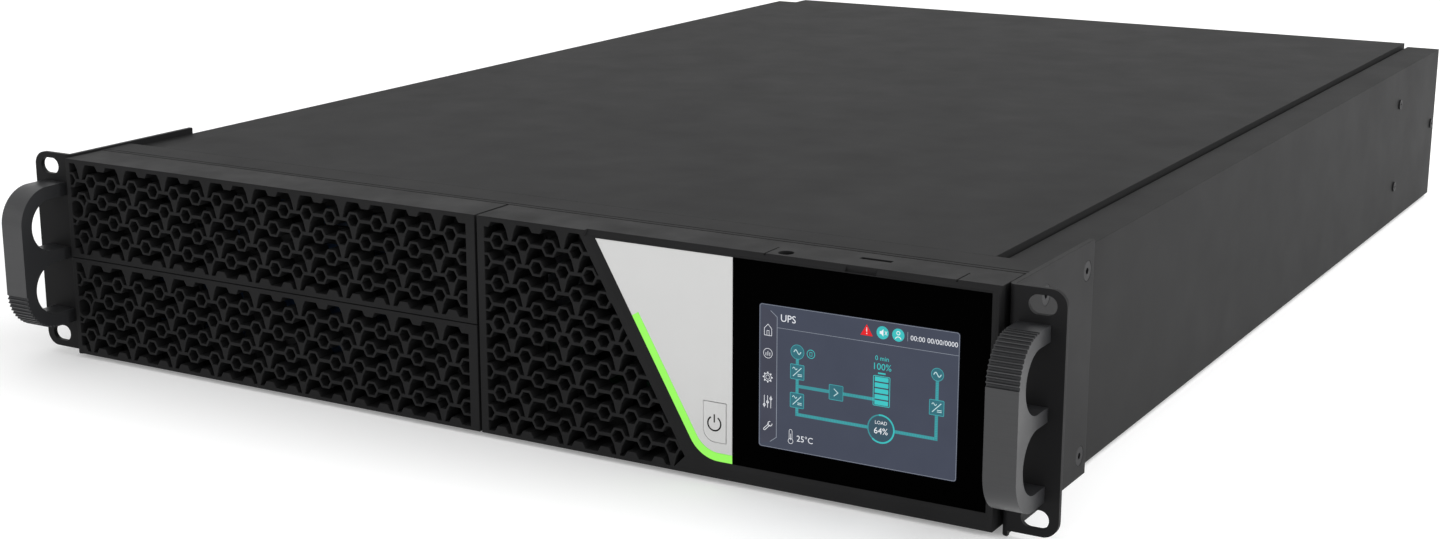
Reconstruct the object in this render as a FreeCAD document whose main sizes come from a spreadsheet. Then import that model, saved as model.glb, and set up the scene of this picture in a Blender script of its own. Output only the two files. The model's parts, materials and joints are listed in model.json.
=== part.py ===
"""A 2U rack uninterruptible power supply with two half-width battery drawers.

X runs to the right of a person facing the front, Y runs back into the rack, Z runs up.
Sub-parts are drawn from the front panels' face (y = 0), the middle of the width (x = 0)
and the underside of the case (z = 0).  Each finished sub-part is then placed so that the
row's origin is the centre of the four rack-ear slots, on the ears' mounting face.
"""

import FreeCAD, Part
import math
import os
import re
import Sketcher

Vec = FreeCAD.Vector
X_DIR = Vec(1, 0, 0)
Y_DIR = Vec(0, 1, 0)
Z_DIR = Vec(0, 0, 1)

# Driving dimensions in millimetres.
DIMS = {
    # case
    "case_half": 220.0,
    "case_rear": 650.0,
    "case_top": 85.7,
    "steel": 1.2,
    "flange_inner": 202.0,
    "cover_half": 200.0,
    "cover_top": 87.7,
    "cover_front": 39.9,
    "cover_lip": 214.0,
    "cover_drop": 3.4,
    "frame_front": 25.2,
    "strip_rear": 39.8,
    "fit_gap": 0.2,
    "standoff_top": 6.0,
    "foot_drop": 2.0,
    "foot_radius": 8.0,
    # front panels
    "panel_half": 218.6,
    "panel_top": 87.7,
    "panel_depth": 21.5,
    "wall": 2.2,
    "grille_depth": 9.0,
    "seam_left": 0.2,
    "seam_right": 1.4,
    "split": 43.75,
    "split_gap": 0.4,
    # rack ears and handles
    "ear_front": 4.0,
    "ear_plate": 2.0,
    "ear_span_half": 241.3,
    "ear_low": 0.2,
    "ear_top": 88.4,
    "ear_mid": 44.45,
    "ear_bracket_low": -1.9,
    "ear_bracket_rear": 80.0,
    "ear_bend": 2.6,
    "ear_corner": 6.0,
    "slot_place": 232.55,
    "slot_half_pitch": 38.1,
    "slot_half_wide": 3.5,
    "slot_span": 10.4,
    "grip_place": 229.8,
    "grip_wide": 12.0,
    "grip_front": -22.5,
    "grip_half_high": 31.5,
    "grip_corner": 16.0,
    "grip_strap": 5.8,
    "grip_hole": 11.55,
    # display side
    "fascia_left": 55.2,
    "fascia_top": 85.0,
    "fascia_low": 6.3,
    "fascia_front": 1.0,
    "recess_floor": 3.2,
    "glass_left": 114.5,
    "glass_right": 215.4,
    "bar_wide": 3.0,
    "bar_top": 57.3,
    "key_left": 102.25,
    "key_right": 111.75,
    "key_low": 13.75,
    "key_high": 29.0,
    "key_travel": 0.8,
    # battery drawers
    "tray_left": -208.0,
    "tray_right": -1.2,
    "tray_rear": 440.0,
    "tray_floor": 2.0,
    "tray_high": 38.0,
    "tray_pitch": 42.9,
    "door_pitch": 44.35,
    "cell_radius": 16.0,
    "cell_span": 70.0,
    "cell_pitch": 33.0,
    # back
    "fan_half": 40.0,
    "fan_thick": 25.0,
    "fan_bore": 38.0,
    "fan_left_place": -168.0,
    "fan_right_place": -80.0,
    "fan_mid": 43.0,
    "panel_in": 648.6,
    "panel_out": 649.8,
}

doc = FreeCAD.newDocument("rack_ups")
sheet = doc.addObject("Spreadsheet::Sheet", "Dims")
for row, (word, size) in enumerate(DIMS.items(), start=1):
    sheet.set(f"A{row}", word)
    sheet.set(f"B{row}", str(size))
    sheet.setAlias(f"B{row}", word)
doc.recompute()

WORDS = re.compile(r"[a-z][a-z_]*")
NODES = {}


def mm(word):
    """A driving dimension, read from the sheet."""
    return float(sheet.get(word))


def bound(text):
    """An expression in which the sheet's words point at the sheet."""
    return WORDS.sub(lambda m: "Dims." + m.group(0) if m.group(0) in DIMS else m.group(0), str(text))


# ---------------------------------------------------------------- building blocks


def box(name, xs, ys, zs):
    """A Part::Box from a low to a high place on each axis; a place is a number or sheet words."""
    made = doc.addObject("Part::Box", name)
    for side, axis, (low, high) in zip(("Length", "Width", "Height"), "xyz", (xs, ys, zs)):
        made.setExpression(side, bound(f"({high}) - ({low})"))
        made.setExpression(f"Placement.Base.{axis}", bound(low))
    return made


def rod(name, axis, place, span, radius):
    """A Part::Cylinder along axis 'x', 'y' or 'z', over span, through place on the other two axes."""
    made = doc.addObject("Part::Cylinder", name)
    turn = {"x": (Y_DIR, 90), "y": (X_DIR, -90), "z": (Z_DIR, 0)}[axis]
    made.Placement = FreeCAD.Placement(Vec(), FreeCAD.Rotation(*turn))
    low, high = span
    made.setExpression("Radius", bound(radius))
    made.setExpression("Height", bound(f"({high}) - ({low})"))
    others = [word for word in "xyz" if word != axis]
    made.setExpression(f"Placement.Base.{axis}", bound(low))
    for word, where in zip(others, place):
        made.setExpression(f"Placement.Base.{word}", bound(where))
    return made


def fuse(name, *pieces):
    """One solid from pieces that touch or overlap."""
    made = doc.addObject("Part::MultiFuse", name)
    made.Shapes = list(pieces)
    made.Refine = True
    return made


def group(name, *pieces):
    """Separate solids kept side by side."""
    made = doc.addObject("Part::Compound", name)
    made.Links = list(pieces)
    return made


def cut(name, base, *tools):
    """base with the tools taken away."""
    made = doc.addObject("Part::Cut", name)
    made.Base = base
    made.Tool = tools[0] if len(tools) == 1 else group(f"{name}_tools", *tools)
    return made


def shaped(name, shape):
    """A Part::Feature for a shape that Part's own functions made."""
    made = doc.addObject("Part::Feature", name)
    made.Shape = shape if shape.Placement.isIdentity() else Part.makeCompound([shape])
    return made


def origin_plane(body, role):
    return next(plane for plane in body.Origin.OriginFeatures if plane.Role == role)


def number(text):
    """The value of an expression over the sheet's words."""
    return float(sheet.evalExpression(str(text)))


def outline(sketch, corners):
    """A closed outline of straight lines whose corners are held to the sheet by dimensions."""
    places = [(number(a), number(b)) for a, b in corners]
    for start, end in zip(places, places[1:] + places[:1]):
        sketch.addGeometry(Part.LineSegment(Vec(*start, 0), Vec(*end, 0)), False)
    count = len(corners)
    for line in range(count):
        sketch.addConstraint(Sketcher.Constraint("Coincident", line, 2, (line + 1) % count, 1))
    for line, (words, place) in enumerate(zip(corners, places)):
        for kind, word, value in zip(("DistanceX", "DistanceY"), words, place):
            held = sketch.addConstraint(Sketcher.Constraint(kind, -1, 1, line, 1, value))
            sketch.setExpression(f"Constraints[{held}]", bound(word))


def sketch_on(body, name, role, start, corners):
    """A sketch on one of the body's origin planes, moved along that plane's own axis to start."""
    sketch = body.newObject("Sketcher::SketchObject", name)
    sketch.AttachmentSupport = [(origin_plane(body, role), "")]
    sketch.MapMode = "FlatFace"
    sign = "-" if role == "XZ_Plane" else ""
    sketch.setExpression(".AttachmentOffset.Base.z", bound(f"{sign}({start})"))
    outline(sketch, corners)
    return sketch


def profile(name, role, span, corners):
    """A PartDesign body: an outline on an origin plane, padded over span along the plane's axis."""
    body = doc.addObject("PartDesign::Body", name)
    low, high = span
    sketch = sketch_on(body, f"{name}_outline", role, low, corners)
    pad = body.newObject("PartDesign::Pad", f"{name}_pad")
    pad.Profile = sketch
    pad.Reversed = role == "XZ_Plane"
    pad.setExpression("Length", bound(f"({high}) - ({low})"))
    sketch.Visibility = False
    doc.recompute()
    return body


def edges_along(shape, axis, test):
    """Names of the straight edges that run along axis and whose middle passes the test."""
    names = []
    for place, edge in enumerate(shape.Edges, start=1):
        if edge.Curve.TypeId != "Part::GeomLine":
            continue
        way = edge.Vertexes[1].Point - edge.Vertexes[0].Point
        if abs(way.normalize().dot(axis)) > 0.999 and test(edge.CenterOfMass):
            names.append(f"Edge{place}")
    return names


def rounded(body, name, radius, axis, test):
    """A PartDesign fillet on a body's edges along axis that pass the test."""
    doc.recompute()
    padded = body.Tip
    fillet = body.newObject("PartDesign::Fillet", name)
    fillet.Base = (padded, edges_along(padded.Shape, axis, test))
    fillet.setExpression("Radius", bound(radius))
    doc.recompute()
    body.Tip = fillet
    return body


def node(made, label):
    """Registers a finished sub-part and places it from the bench frame into the row's frame."""
    held = dict(made.ExpressionEngine)
    for axis, shift in (("y", "ear_front + ear_plate"), ("z", "ear_mid")):
        path = f"Placement.Base.{axis}"
        here = held.get(f".{path}", held.get(path, "0"))
        made.setExpression(path, f"{here} - ({bound(shift)})")
    made.Label = label
    NODES[label] = made
    return made


def prism(corners, low, high):
    """A plain solid with its outline in X and Z, from low to high in Y."""
    wire = Part.makePolygon([Vec(x, low, z) for x, z in list(corners) + [corners[0]]])
    return Part.Face(wire).extrude(Vec(0, high - low, 0))


# ---------------------------------------------------------------- honeycomb grille

RING_PITCH = 12.04
ROW_PITCH = 8.43
HOLE_APOTHEM = 2.35
RING_APOTHEM = 3.28
BAR_HALF = 0.7
STRUT_TOP = 2.3
STRUT_FOOT = 0.65
SLIVER = 2.5
RING_FLAT_HALF = RING_APOTHEM * math.tan(math.pi / 6)
RING_AT_BAR = (2 * RING_APOTHEM - BAR_HALF) * math.tan(math.pi / 6)


def hexagon(x, z, apothem):
    reach = apothem / math.cos(math.pi / 6)
    angles = [math.radians(60 * turn) for turn in range(6)]
    return [(x + reach * math.cos(a), z + reach * math.sin(a)) for a in angles]


def zigzag(x, upper, lower):
    """The opening between two ring rows, from the strut at x to the next strut.

    Struts hang under every second ring of the upper row; the ring between them dips in from
    above, and two rings of the lower row rise from below.
    """
    top = upper - BAR_HALF
    floor = lower + BAR_HALF
    dip = upper - RING_APOTHEM
    rise = lower + RING_APOTHEM
    lean = (STRUT_TOP - STRUT_FOOT) * (RING_APOTHEM - BAR_HALF) / (top - floor)
    side = max(RING_FLAT_HALF, STRUT_TOP - lean)
    half = [(RING_AT_BAR, top), (RING_PITCH - RING_AT_BAR, top), (RING_PITCH - RING_FLAT_HALF, dip)]
    under = [(STRUT_FOOT, floor), (RING_PITCH / 2 - RING_AT_BAR, floor)]
    under += [(RING_PITCH / 2 - RING_FLAT_HALF, rise), (RING_PITCH / 2 + RING_FLAT_HALF, rise)]
    under += [(RING_PITCH / 2 + RING_AT_BAR, floor)]
    left = half + [(2 * RING_PITCH - a, b) for a, b in reversed(half)]
    right = [(2 * RING_PITCH - side, dip)] + [(2 * RING_PITCH - a, b) for a, b in under]
    back = list(reversed(under)) + [(side, dip)]
    return [(x + a, z) for a, z in left + right + back]


def phased(phase, pitch, low, high):
    """Every phase + k * pitch between low and high."""
    first = math.ceil((low - phase) / pitch)
    return [phase + k * pitch for k in range(first, math.floor((high - phase) / pitch) + 1)]


def polygon_face(corners):
    """A flat face in X and Z at y = 0."""
    return Part.Face(Part.makePolygon([Vec(x, 0, z) for x, z in list(corners) + [corners[0]]]))


def disc_face(x, z, radius):
    return Part.Face(Part.Wire(Part.makeCircle(radius, Vec(x, 0, z), Y_DIR)))


def grille_panel(window, rows, access):
    """The window's honeycomb: ring holes, and zigzag openings between rows.

    rows holds (height, first ring, first strut, band below?) from the top down; the first and
    last rows only lend their rings to the window's edges.  access holds (x, z, hole radius,
    radius kept solid round it).
    """
    xs = [x for x, z in window]
    low, high = min(xs), max(xs)
    openings = []
    for height, ring, _, _ in rows[1:-1]:
        openings += [hexagon(x, height, HOLE_APOTHEM) for x in phased(ring, RING_PITCH, low - 3, high + 3)]
    for (upper, _, strut, band), (lower, _, _, _) in zip(rows, rows[1:]):
        if band:
            places = phased(strut, 2 * RING_PITCH, low - 2 * RING_PITCH, high)
            openings += [zigzag(x, upper, lower) for x in places]
    panel = polygon_face(window)
    allowed = panel
    for x, z, _, solid in access:
        allowed = allowed.cut(disc_face(x, z, solid))
    clipped = Part.makeCompound([polygon_face(corners) for corners in openings]).common(allowed)
    holes = [face for face in clipped.Faces if face.Area > SLIVER]
    holes += [disc_face(x, z, radius) for x, z, radius, _ in access]
    left = [face for face in panel.cut(Part.makeCompound(holes)).Faces if face.Area > SLIVER / 2]
    return Part.makeCompound([face.extrude(Vec(0, mm("grille_depth"), 0)) for face in left])


def alternate_rows(heights, ring_a, strut_a, ring_b, strut_b):
    """Rows whose rings and struts alternate between two phases, B first."""
    phases = [(ring_b, strut_b), (ring_a, strut_a)]
    return [(height, *phases[place % 2], True) for place, height in enumerate(heights)]


# ---------------------------------------------------------------- case

SIDE_REACH = [
    ("left", ("-case_half - 1", "-case_half + 4")),
    ("right", ("case_half - 4", "case_half + 1")),
]


def build_chassis_base():
    half, inner = "case_half", "case_half - steel"
    under = "case_top - steel"
    corners = [(f"-{half}", "0"), (half, "0"), (half, "case_top"), ("flange_inner", "case_top")]
    corners += [("flange_inner", under), (inner, under), (inner, "steel")]
    corners += [(f"-({inner})", "steel"), (f"-({inner})", under), ("-flange_inner", under)]
    corners += [("-flange_inner", "case_top"), (f"-{half}", "case_top")]
    tub = profile("base_tub", "XZ_Plane", ("frame_front", "case_rear"), corners)
    ys, zs = ("frame_front - 1", "strip_rear + 1"), ("steel", "case_top + 1")
    clear = [
        box("base_front_clear_left", (f"-({inner})", "-flange_inner + 1"), ys, zs),
        box("base_front_clear_right", ("flange_inner - 1", inner), ys, zs),
    ]
    posts = []
    for place, (x, y) in enumerate(BOARD_POSTS):
        posts.append(rod(f"base_post_{place}", "z", (x, y), ("steel / 2", "standoff_top"), "3"))
    body = fuse("base_with_posts", cut("base_open_front", tub, *clear), *posts)
    holes = []
    for side, xs in SIDE_REACH:
        for place, (y, z) in enumerate(EAR_SCREWS):
            holes.append(rod(f"base_ear_hole_{side}_{place}", "x", (y, z), xs, "2.1"))
        for place, (y, z) in enumerate(SIDE_SCREWS):
            holes.append(rod(f"base_side_hole_{side}_{place}", "x", (y, z), xs, "1.6"))
    return node(cut("base", body, *holes), "chassis_base")


def build_top_cover():
    wall, lip = "cover_half - steel", "cover_top - cover_drop"
    under, panel = f"{lip} - steel", "cover_top - steel"
    half = [("cover_half", "cover_top"), ("cover_half", lip), ("cover_lip", lip), ("cover_lip", under)]
    half += [(wall, under), (wall, panel)]
    corners = half + [(f"-({x})", z) for x, z in reversed(half)]
    return node(profile("cover", "XZ_Plane", ("cover_front", "case_rear"), corners), "top_cover")


def build_front_frame():
    """The bay frame, and the grooved strip above it that runs across the top of the case."""
    inside = "case_half - steel - fit_gap"
    zs, ys = ("steel + 0.1", "panel_top"), ("frame_front", "strip_rear")
    strip_ys = ("panel_depth + 0.7", "strip_rear")
    across = ("-case_half", "case_half")
    plate = box("frame_plate", (f"-({inside})", inside), ("frame_front", "frame_front + steel"), zs)
    strip = box("frame_strip", across, strip_ys, ("panel_top - steel", "panel_top"))
    skirts = [
        box("frame_skirt_left", (f"-({inside})", f"-({inside}) + steel"), ys, zs),
        box("frame_skirt_right", (f"{inside} - steel", inside), ys, zs),
        box("frame_end_left", ("-case_half", "-case_half + 2"), strip_ys, ("case_top + 0.1", "panel_top")),
        box("frame_end_right", ("case_half - 2", "case_half"), strip_ys, ("case_top + 0.1", "panel_top")),
    ]
    groove = box("frame_groove", ("-case_half - 1", "case_half + 1"), (24.4, 25.0), ("panel_top - 0.6", 90))
    body = cut("frame_grooved", fuse("frame_body", plate, strip, *skirts), groove)
    ys = ("frame_front - 1", "frame_front + steel + 1")
    windows = []
    for drawer, base, lift in (("lower", "0", "0"), ("upper", "tray_pitch", "door_pitch")):
        zs = (f"tray_floor - 0.5 + {base}", f"tray_floor + tray_high + 0.5 + {base}")
        windows.append(box(f"frame_{drawer}_bay", ("tray_left - 0.6", "tray_right + 0.8"), ys, zs))
        windows.append(rod(f"frame_{drawer}_lock", "y", (LOCK_X, f"{LOCK_Z} + {lift}"), ys, "2.2"))
    windows.append(box("frame_air_window", (16, 200), ys, (12, 76)))
    for place, (x, z, _, _) in enumerate(BEZEL_BOSSES):
        windows.append(rod(f"frame_bezel_hole_{place}", "y", (x, z), ys, "1.6"))
    for side, xs in SIDE_REACH:
        for place, (y, z) in enumerate(EAR_SCREWS[:2]):
            windows.append(rod(f"frame_ear_hole_{side}_{place}", "x", (y, z), xs, "2.3"))
    return node(cut("frame", body, *windows), "front_frame")


def build_rear_panel():
    inside, middle = "case_half - steel - fit_gap", "cover_half - steel - 0.3"
    low, shoulder, high = "steel + 0.1", "cover_top - cover_drop - steel - 0.1", "cover_top - steel - 0.2"
    half = [(inside, low), (inside, shoulder), (middle, shoulder), (middle, high)]
    corners = half + [(f"-({x})", z) for x, z in reversed(half)]
    plate = profile("rear_plate", "XZ_Plane", ("panel_in", "panel_out"), corners)
    tab_ys = ("panel_in - 14", "panel_out")
    tabs = [
        box("rear_tab_left", (f"-({inside})", f"-({inside}) + steel"), tab_ys, (30, 56)),
        box("rear_tab_right", (f"{inside} - steel", inside), tab_ys, (30, 56)),
    ]
    body = fuse("rear_body", plate, *tabs)
    ys = ("panel_in - 2", "panel_out + 2")
    holes = []
    for fan in ("left", "right"):
        middle_x = f"fan_{fan}_place"
        holes.append(rod(f"rear_fan_{fan}", "y", (middle_x, "fan_mid"), ys, "fan_bore"))
        for place, (dx, dz) in enumerate(FAN_CORNERS):
            where = (f"{middle_x} + {dx}", f"fan_mid + {dz}")
            holes.append(rod(f"rear_fan_{fan}_hole_{place}", "y", where, ys, "2.2"))
    for place, (x, z, wide, high) in enumerate(REAR_CUTOUTS):
        xs, zs = (x - wide / 2, x + wide / 2), (z - high / 2, z + high / 2)
        holes.append(box(f"rear_cutout_{place}", xs, ys, zs))
    for place, (x, z, radius) in enumerate(REAR_HOLES):
        holes.append(rod(f"rear_hole_{place}", "y", (x, z), ys, radius))
    for side, xs in SIDE_REACH:
        y, z = SIDE_SCREWS[-1]
        holes.append(rod(f"rear_side_hole_{side}", "x", (y, z), xs, "1.7"))
    return node(cut("rear", body, *holes), "rear_panel")


def build_feet():
    feet = []
    for place, (x, y) in enumerate(((-180, 90), (180, 90), (-180, 600), (180, 600))):
        feet.append(rod(f"foot_{place}", "z", (x, y), ("-foot_drop", 0), "foot_radius"))
    return node(group("feet", *feet), "rubber_feet")


# ---------------------------------------------------------------- rack ears and handles

EAR_SCREWS = [(33.5, 6.6), (33.5, 77.8), (73.5, 6.6), (73.5, 77.8)]
SIDE_SCREWS = [(560.0, 66.3), (560.0, 19.9), (642.2, 42.9)]
GRIP_SCREW_RISE = 28.6


def build_ear(side):
    sign = -1 if side == "left" else 1

    def across(text):
        return text if sign > 0 else f"-({text})"

    back = "ear_front + ear_plate"
    inner, wall = across("case_half"), across("case_half + ear_plate")
    tip = across("ear_span_half")
    corners = [(inner, "ear_front"), (tip, "ear_front"), (tip, back), (wall, back)]
    corners += [(wall, "ear_bracket_rear"), (inner, "ear_bracket_rear")]
    body = profile(f"ear_{side}_angle", "XY_Plane", ("ear_bracket_low", "ear_top"), corners)
    edge = mm("case_half")
    bend = rounded(
        body,
        f"ear_{side}_bend",
        "ear_bend",
        Z_DIR,
        lambda p: abs(abs(p.x) - edge) < 0.1 and abs(p.y - mm("ear_front")) < 0.1,
    )
    reach = sorted((sign * (edge + 2.6), sign * 243.0))
    tools = [box(f"ear_{side}_foot_notch", reach, (0, 6.5), ("ear_bracket_low - 1", "ear_low"))]
    for row, rise in (("low", "-slot_half_pitch"), ("high", "slot_half_pitch")):
        middle = across("slot_place")
        run = "slot_span / 2 - slot_half_wide"
        where = f"ear_mid + {rise}"
        ys = ("ear_front - 1", f"{back} + 1")
        ends = []
        for end, shift in (("a", -1), ("b", 1)):
            spot = (f"{middle} + {shift} * ({run})", where)
            ends.append(rod(f"ear_{side}_slot_{row}_{end}", "y", spot, ys, "slot_half_wide"))
        core = box(
            f"ear_{side}_slot_{row}_core",
            (f"{middle} - ({run})", f"{middle} + {run}"),
            ys,
            (f"{where} - slot_half_wide", f"{where} + slot_half_wide"),
        )
        tools.append(fuse(f"ear_{side}_slot_{row}", core, *ends))
        rise_mm = GRIP_SCREW_RISE if row == "high" else -GRIP_SCREW_RISE
        place = (across("grip_place"), f"ear_mid + {rise_mm}")
        tools.append(rod(f"ear_{side}_grip_hole_{row}", "y", place, ys, "2.15"))
    for place, (y, z) in enumerate(EAR_SCREWS):
        tools.append(shaped(f"ear_{side}_sink_{place}", countersink(sign, y, z, 0.12)))
    body = cut(f"ear_{side}_cut", bend, *tools)
    doc.recompute()
    rounded_ear = doc.addObject("Part::Fillet", f"ear_{side}_round")
    rounded_ear.Base = body
    tip_mm = mm("ear_span_half")
    names = edges_along(body.Shape, Y_DIR, lambda p: abs(abs(p.x) - tip_mm) < 0.1)
    radius = mm("ear_corner")
    rounded_ear.Edges = [(int(name[4:]), radius, radius) for name in names]
    return node(rounded_ear, f"rack_ear_{side}")


def countersink(sign, y, z, slack):
    """The room a flat-headed screw takes in the ear's side plate, or with no slack its head and shank."""
    outer = mm("case_half") + mm("ear_plate")
    head = 3.8 + slack
    shank = 1.95 + slack
    deep = head - shank
    face = outer + (0.5 if slack else -0.05)
    rise = face - outer if slack else 0.0
    cone = Part.makeCone(shank, head, deep, Vec(outer - 0.05 - deep, y, z), X_DIR)
    stem = Part.makeCylinder(shank, 6.0 + 2 * slack, Vec(outer - 8.0 - slack, y, z), X_DIR)
    pieces = [stem.fuse(Part.makeCylinder(shank, 2.0, Vec(outer - 2.2, y, z), X_DIR)), cone]
    if slack:
        pieces.append(Part.makeCylinder(head, rise + 0.05, Vec(outer - 0.05, y, z), X_DIR))
    solid = pieces[0].fuse(pieces[1:])
    return solid if sign > 0 else solid.mirror(Vec(), X_DIR)


def build_ear_screws():
    socket = []
    for sign in (-1, 1):
        for y, z in EAR_SCREWS:
            outer = mm("case_half") + mm("ear_plate")
            hexagon_wire = Part.makePolygon(
                [Vec(outer - 1.4, y + 1.35 * math.cos(a), z + 1.35 * math.sin(a)) for a in HEX_TURNS]
            )
            drive = Part.Face(hexagon_wire).extrude(Vec(2, 0, 0))
            drive = drive if sign > 0 else drive.mirror(Vec(), X_DIR)
            socket.append(countersink(sign, y, z, 0.0).cut(drive))
    return node(shaped("ear_screw_set", Part.makeCompound(socket)), "ear_screws")


HEX_TURNS = [math.radians(60 * turn) for turn in range(7)]


def grip_grooves():
    """Thin rods along X that sink the finger ribs into the handle's rounded corner."""
    middle_y = mm("grip_front") + mm("grip_corner")
    middle_z = mm("ear_mid") + mm("grip_half_high") - mm("grip_corner")
    start = mm("grip_place") - mm("grip_wide") / 2 - 1
    rods = []
    for turn in range(14):
        angle = math.radians(1.5 + turn * 6.7)
        y = middle_y - mm("grip_corner") * math.cos(angle)
        z = middle_z + mm("grip_corner") * math.sin(angle)
        rods.append(Part.makeCylinder(0.72, mm("grip_wide") + 2, Vec(start, y, z), X_DIR))
    return Part.makeCompound(rods)


def build_handles():
    low, high = "ear_mid - grip_half_high", "ear_mid + grip_half_high"
    span = ("grip_place - grip_wide / 2", "grip_place + grip_wide / 2")
    corners = [("grip_front", low), ("ear_front", low), ("ear_front", high), ("grip_front", high)]
    bar = profile("grip_bar", "YZ_Plane", span, corners)
    front = mm("grip_front")
    bar = rounded(bar, "grip_round", "grip_corner", X_DIR, lambda p: abs(p.y - front) < 0.1)
    tools = [shaped("grip_groove_set", grip_grooves())]
    wide = ("grip_place - grip_wide", "grip_place + grip_wide")
    bend = "grip_front + grip_strap + grip_hole"
    for where, sign in (("low", "-"), ("high", "+")):
        middle = f"ear_mid {sign} (grip_half_high - grip_strap - grip_hole)"
        zs = (f"{middle} - grip_hole", f"{middle} + grip_hole")
        end = rod(f"grip_{where}_end", "x", (bend, middle), wide, "grip_hole")
        leg = box(f"grip_{where}_leg", wide, (bend, "ear_front + 1"), zs)
        tools.append(fuse(f"grip_{where}_opening", end, leg))
    for where, rise in (("low", -GRIP_SCREW_RISE), ("high", GRIP_SCREW_RISE)):
        place = ("grip_place", f"ear_mid + {rise}")
        tools.append(rod(f"grip_{where}_thread", "y", place, ("ear_front - 9", "ear_front + 1"), "2.05"))
    right = cut("grip_right", bar, *tools)
    doc.recompute()
    left = shaped("grip_left", right.Shape)
    left.Placement = FreeCAD.Placement(Vec(), FreeCAD.Rotation(Y_DIR, 180))
    left.setExpression("Placement.Base.z", bound("2 * ear_mid"))
    node(right, "rack_handle_right")
    return node(left, "rack_handle_left")


def build_handle_screws():
    """Pan-headed screws from behind each ear into the handle's legs."""
    back = mm("ear_front") + mm("ear_plate")
    screws = []
    for sign in (-1, 1):
        for rise in (-GRIP_SCREW_RISE, GRIP_SCREW_RISE):
            x, z = sign * mm("grip_place"), mm("ear_mid") + rise
            head = Part.makeCylinder(3.6, 2.4, Vec(x, back, z), Y_DIR)
            shank = Part.makeCylinder(1.95, 10.0, Vec(x, back - 9.5, z), Y_DIR)
            socket = prism(hexagon(x, z, 1.3), back + 1.0, back + 3.0)
            screws.append(head.fuse(shank).cut(socket))
    return node(shaped("handle_screw_set", Part.makeCompound(screws)), "handle_screws")


def build_side_screws():
    """Low pan heads that hold the inner frames to the case sides."""
    half = mm("case_half")
    screws = []
    for sign in (-1, 1):
        for y, z in SIDE_SCREWS:
            head = Part.makeCylinder(2.7, 0.9, Vec(half, y, z), X_DIR)
            shank = Part.makeCylinder(1.45, 8.5, Vec(half - 8, y, z), X_DIR)
            cross = Part.makeBox(1, 0.7, 3.2, Vec(half + 0.4, y - 0.35, z - 1.6))
            cross = cross.fuse(Part.makeBox(1, 3.2, 0.7, Vec(half + 0.4, y - 1.6, z - 0.35)))
            screw = head.fuse(shank).cut(cross)
            screws.append(screw if sign > 0 else screw.mirror(Vec(), X_DIR))
    return node(shaped("side_screw_set", Part.makeCompound(screws)), "side_screws")


# ---------------------------------------------------------------- battery drawers

LOCK_X = -213.5
LOCK_Z = 21.45
ACCESS_RADIUS = 3.75
DOOR_WINDOW = [(-216.4, 1.5), (-4.0, 1.5), (-4.0, 41.6), (-216.4, 41.6)]
DOOR_ROWS = [42.68, 34.25, 25.82, 17.39, 8.96, 0.53]
DOOR_BOSSES = [-185.0, -105.0, -15.0]
BOSS_Z = 21.9
BOARD_POSTS = [(16, 70), (204, 70), (16, 330), (204, 330), (16, 590), (204, 590)]


def build_door(drawer, low, high, rise):
    """A moulded grille cover with shell walls behind it and posts for the drawer's own screws."""
    xs = ("-panel_half", "seam_left")
    block = box(f"{drawer}_door_block", xs, (0, "panel_depth"), (low, high))
    hollow = box(
        f"{drawer}_door_hollow",
        ("-panel_half + wall", "seam_left - wall"),
        ("grille_depth", "panel_depth + 1"),
        (f"{low} + 1.5", f"{high} - 1.5"),
    )
    shell = cut(f"{drawer}_door_shell", block, hollow)
    posts = []
    for place, x in enumerate(DOOR_BOSSES):
        where = (x, BOSS_Z + rise)
        post = rod(f"{drawer}_door_post_{place}", "y", where, ("grille_depth - 0.5", "panel_depth"), "5.5")
        core = rod(f"{drawer}_door_core_{place}", "y", where, ("panel_depth - 8", "panel_depth + 1"), "1.5")
        posts.append(cut(f"{drawer}_door_boss_{place}", post, core))
    window = [(x, z + rise) for x, z in DOOR_WINDOW]
    rows = alternate_rows([z + rise for z in DOOR_ROWS], -95.78, -83.74, -89.76, -89.76)
    opening = shaped(f"{drawer}_window", prism(window, -1, mm("grille_depth") + 1))
    panel = grille_panel(window, rows, [(LOCK_X, LOCK_Z + rise, ACCESS_RADIUS, 5.0)])
    honeycomb = shaped(f"{drawer}_honeycomb", panel)
    body = fuse(f"{drawer}_door_body", cut(f"{drawer}_door_frame", shell, opening), honeycomb, *posts)
    return node(body, f"battery_door_{drawer}")


def build_tray(drawer, rise, lift):
    """A folded steel tray: front flange, floor, sides and back."""
    floor, high = f"tray_floor + {rise}", f"tray_floor + tray_high + {rise}"
    plate = "panel_depth + 0.1"
    back = f"{plate} + steel"
    solid = box(f"{drawer}_tray_block", ("tray_left", "tray_right"), (plate, "tray_rear"), (floor, high))
    inside = box(
        f"{drawer}_tray_inside",
        ("tray_left + 1", "tray_right - 1"),
        (back, "tray_rear - 1"),
        (f"{floor} + 1", f"{high} + 1"),
    )
    low = f"0.6 + {rise}" if drawer == "lower" else f"1.3 + {rise}"
    flange_xs = ("-panel_half + 1", "seam_left - 0.4")
    flange = box(f"{drawer}_tray_flange", flange_xs, (plate, back), (low, f"43.3 + {rise}"))
    tools = []
    for place in range(6):
        left = -196 + 32 * place
        xs, ys = (left, left + 24), (20, 30)
        tools.append(box(f"{drawer}_tray_vent_{place}", xs, ys, (10 + rise, 18 + rise)))
        tools.append(box(f"{drawer}_tray_duct_{place}", xs, ys, (26 + rise, 34 + rise)))
    tools.append(rod(f"{drawer}_tray_lock", "y", (LOCK_X, LOCK_Z + lift), (20, 30), "2.15"))
    tools.append(box(f"{drawer}_tray_plug_hole", (-122, -88), (430, 450), (12 + rise, 32 + rise)))
    body = fuse(f"{drawer}_tray_body", cut(f"{drawer}_tray_tub", solid, inside), flange)
    return node(cut(f"{drawer}_tray", body, *tools), f"battery_tray_{drawer}")


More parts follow.
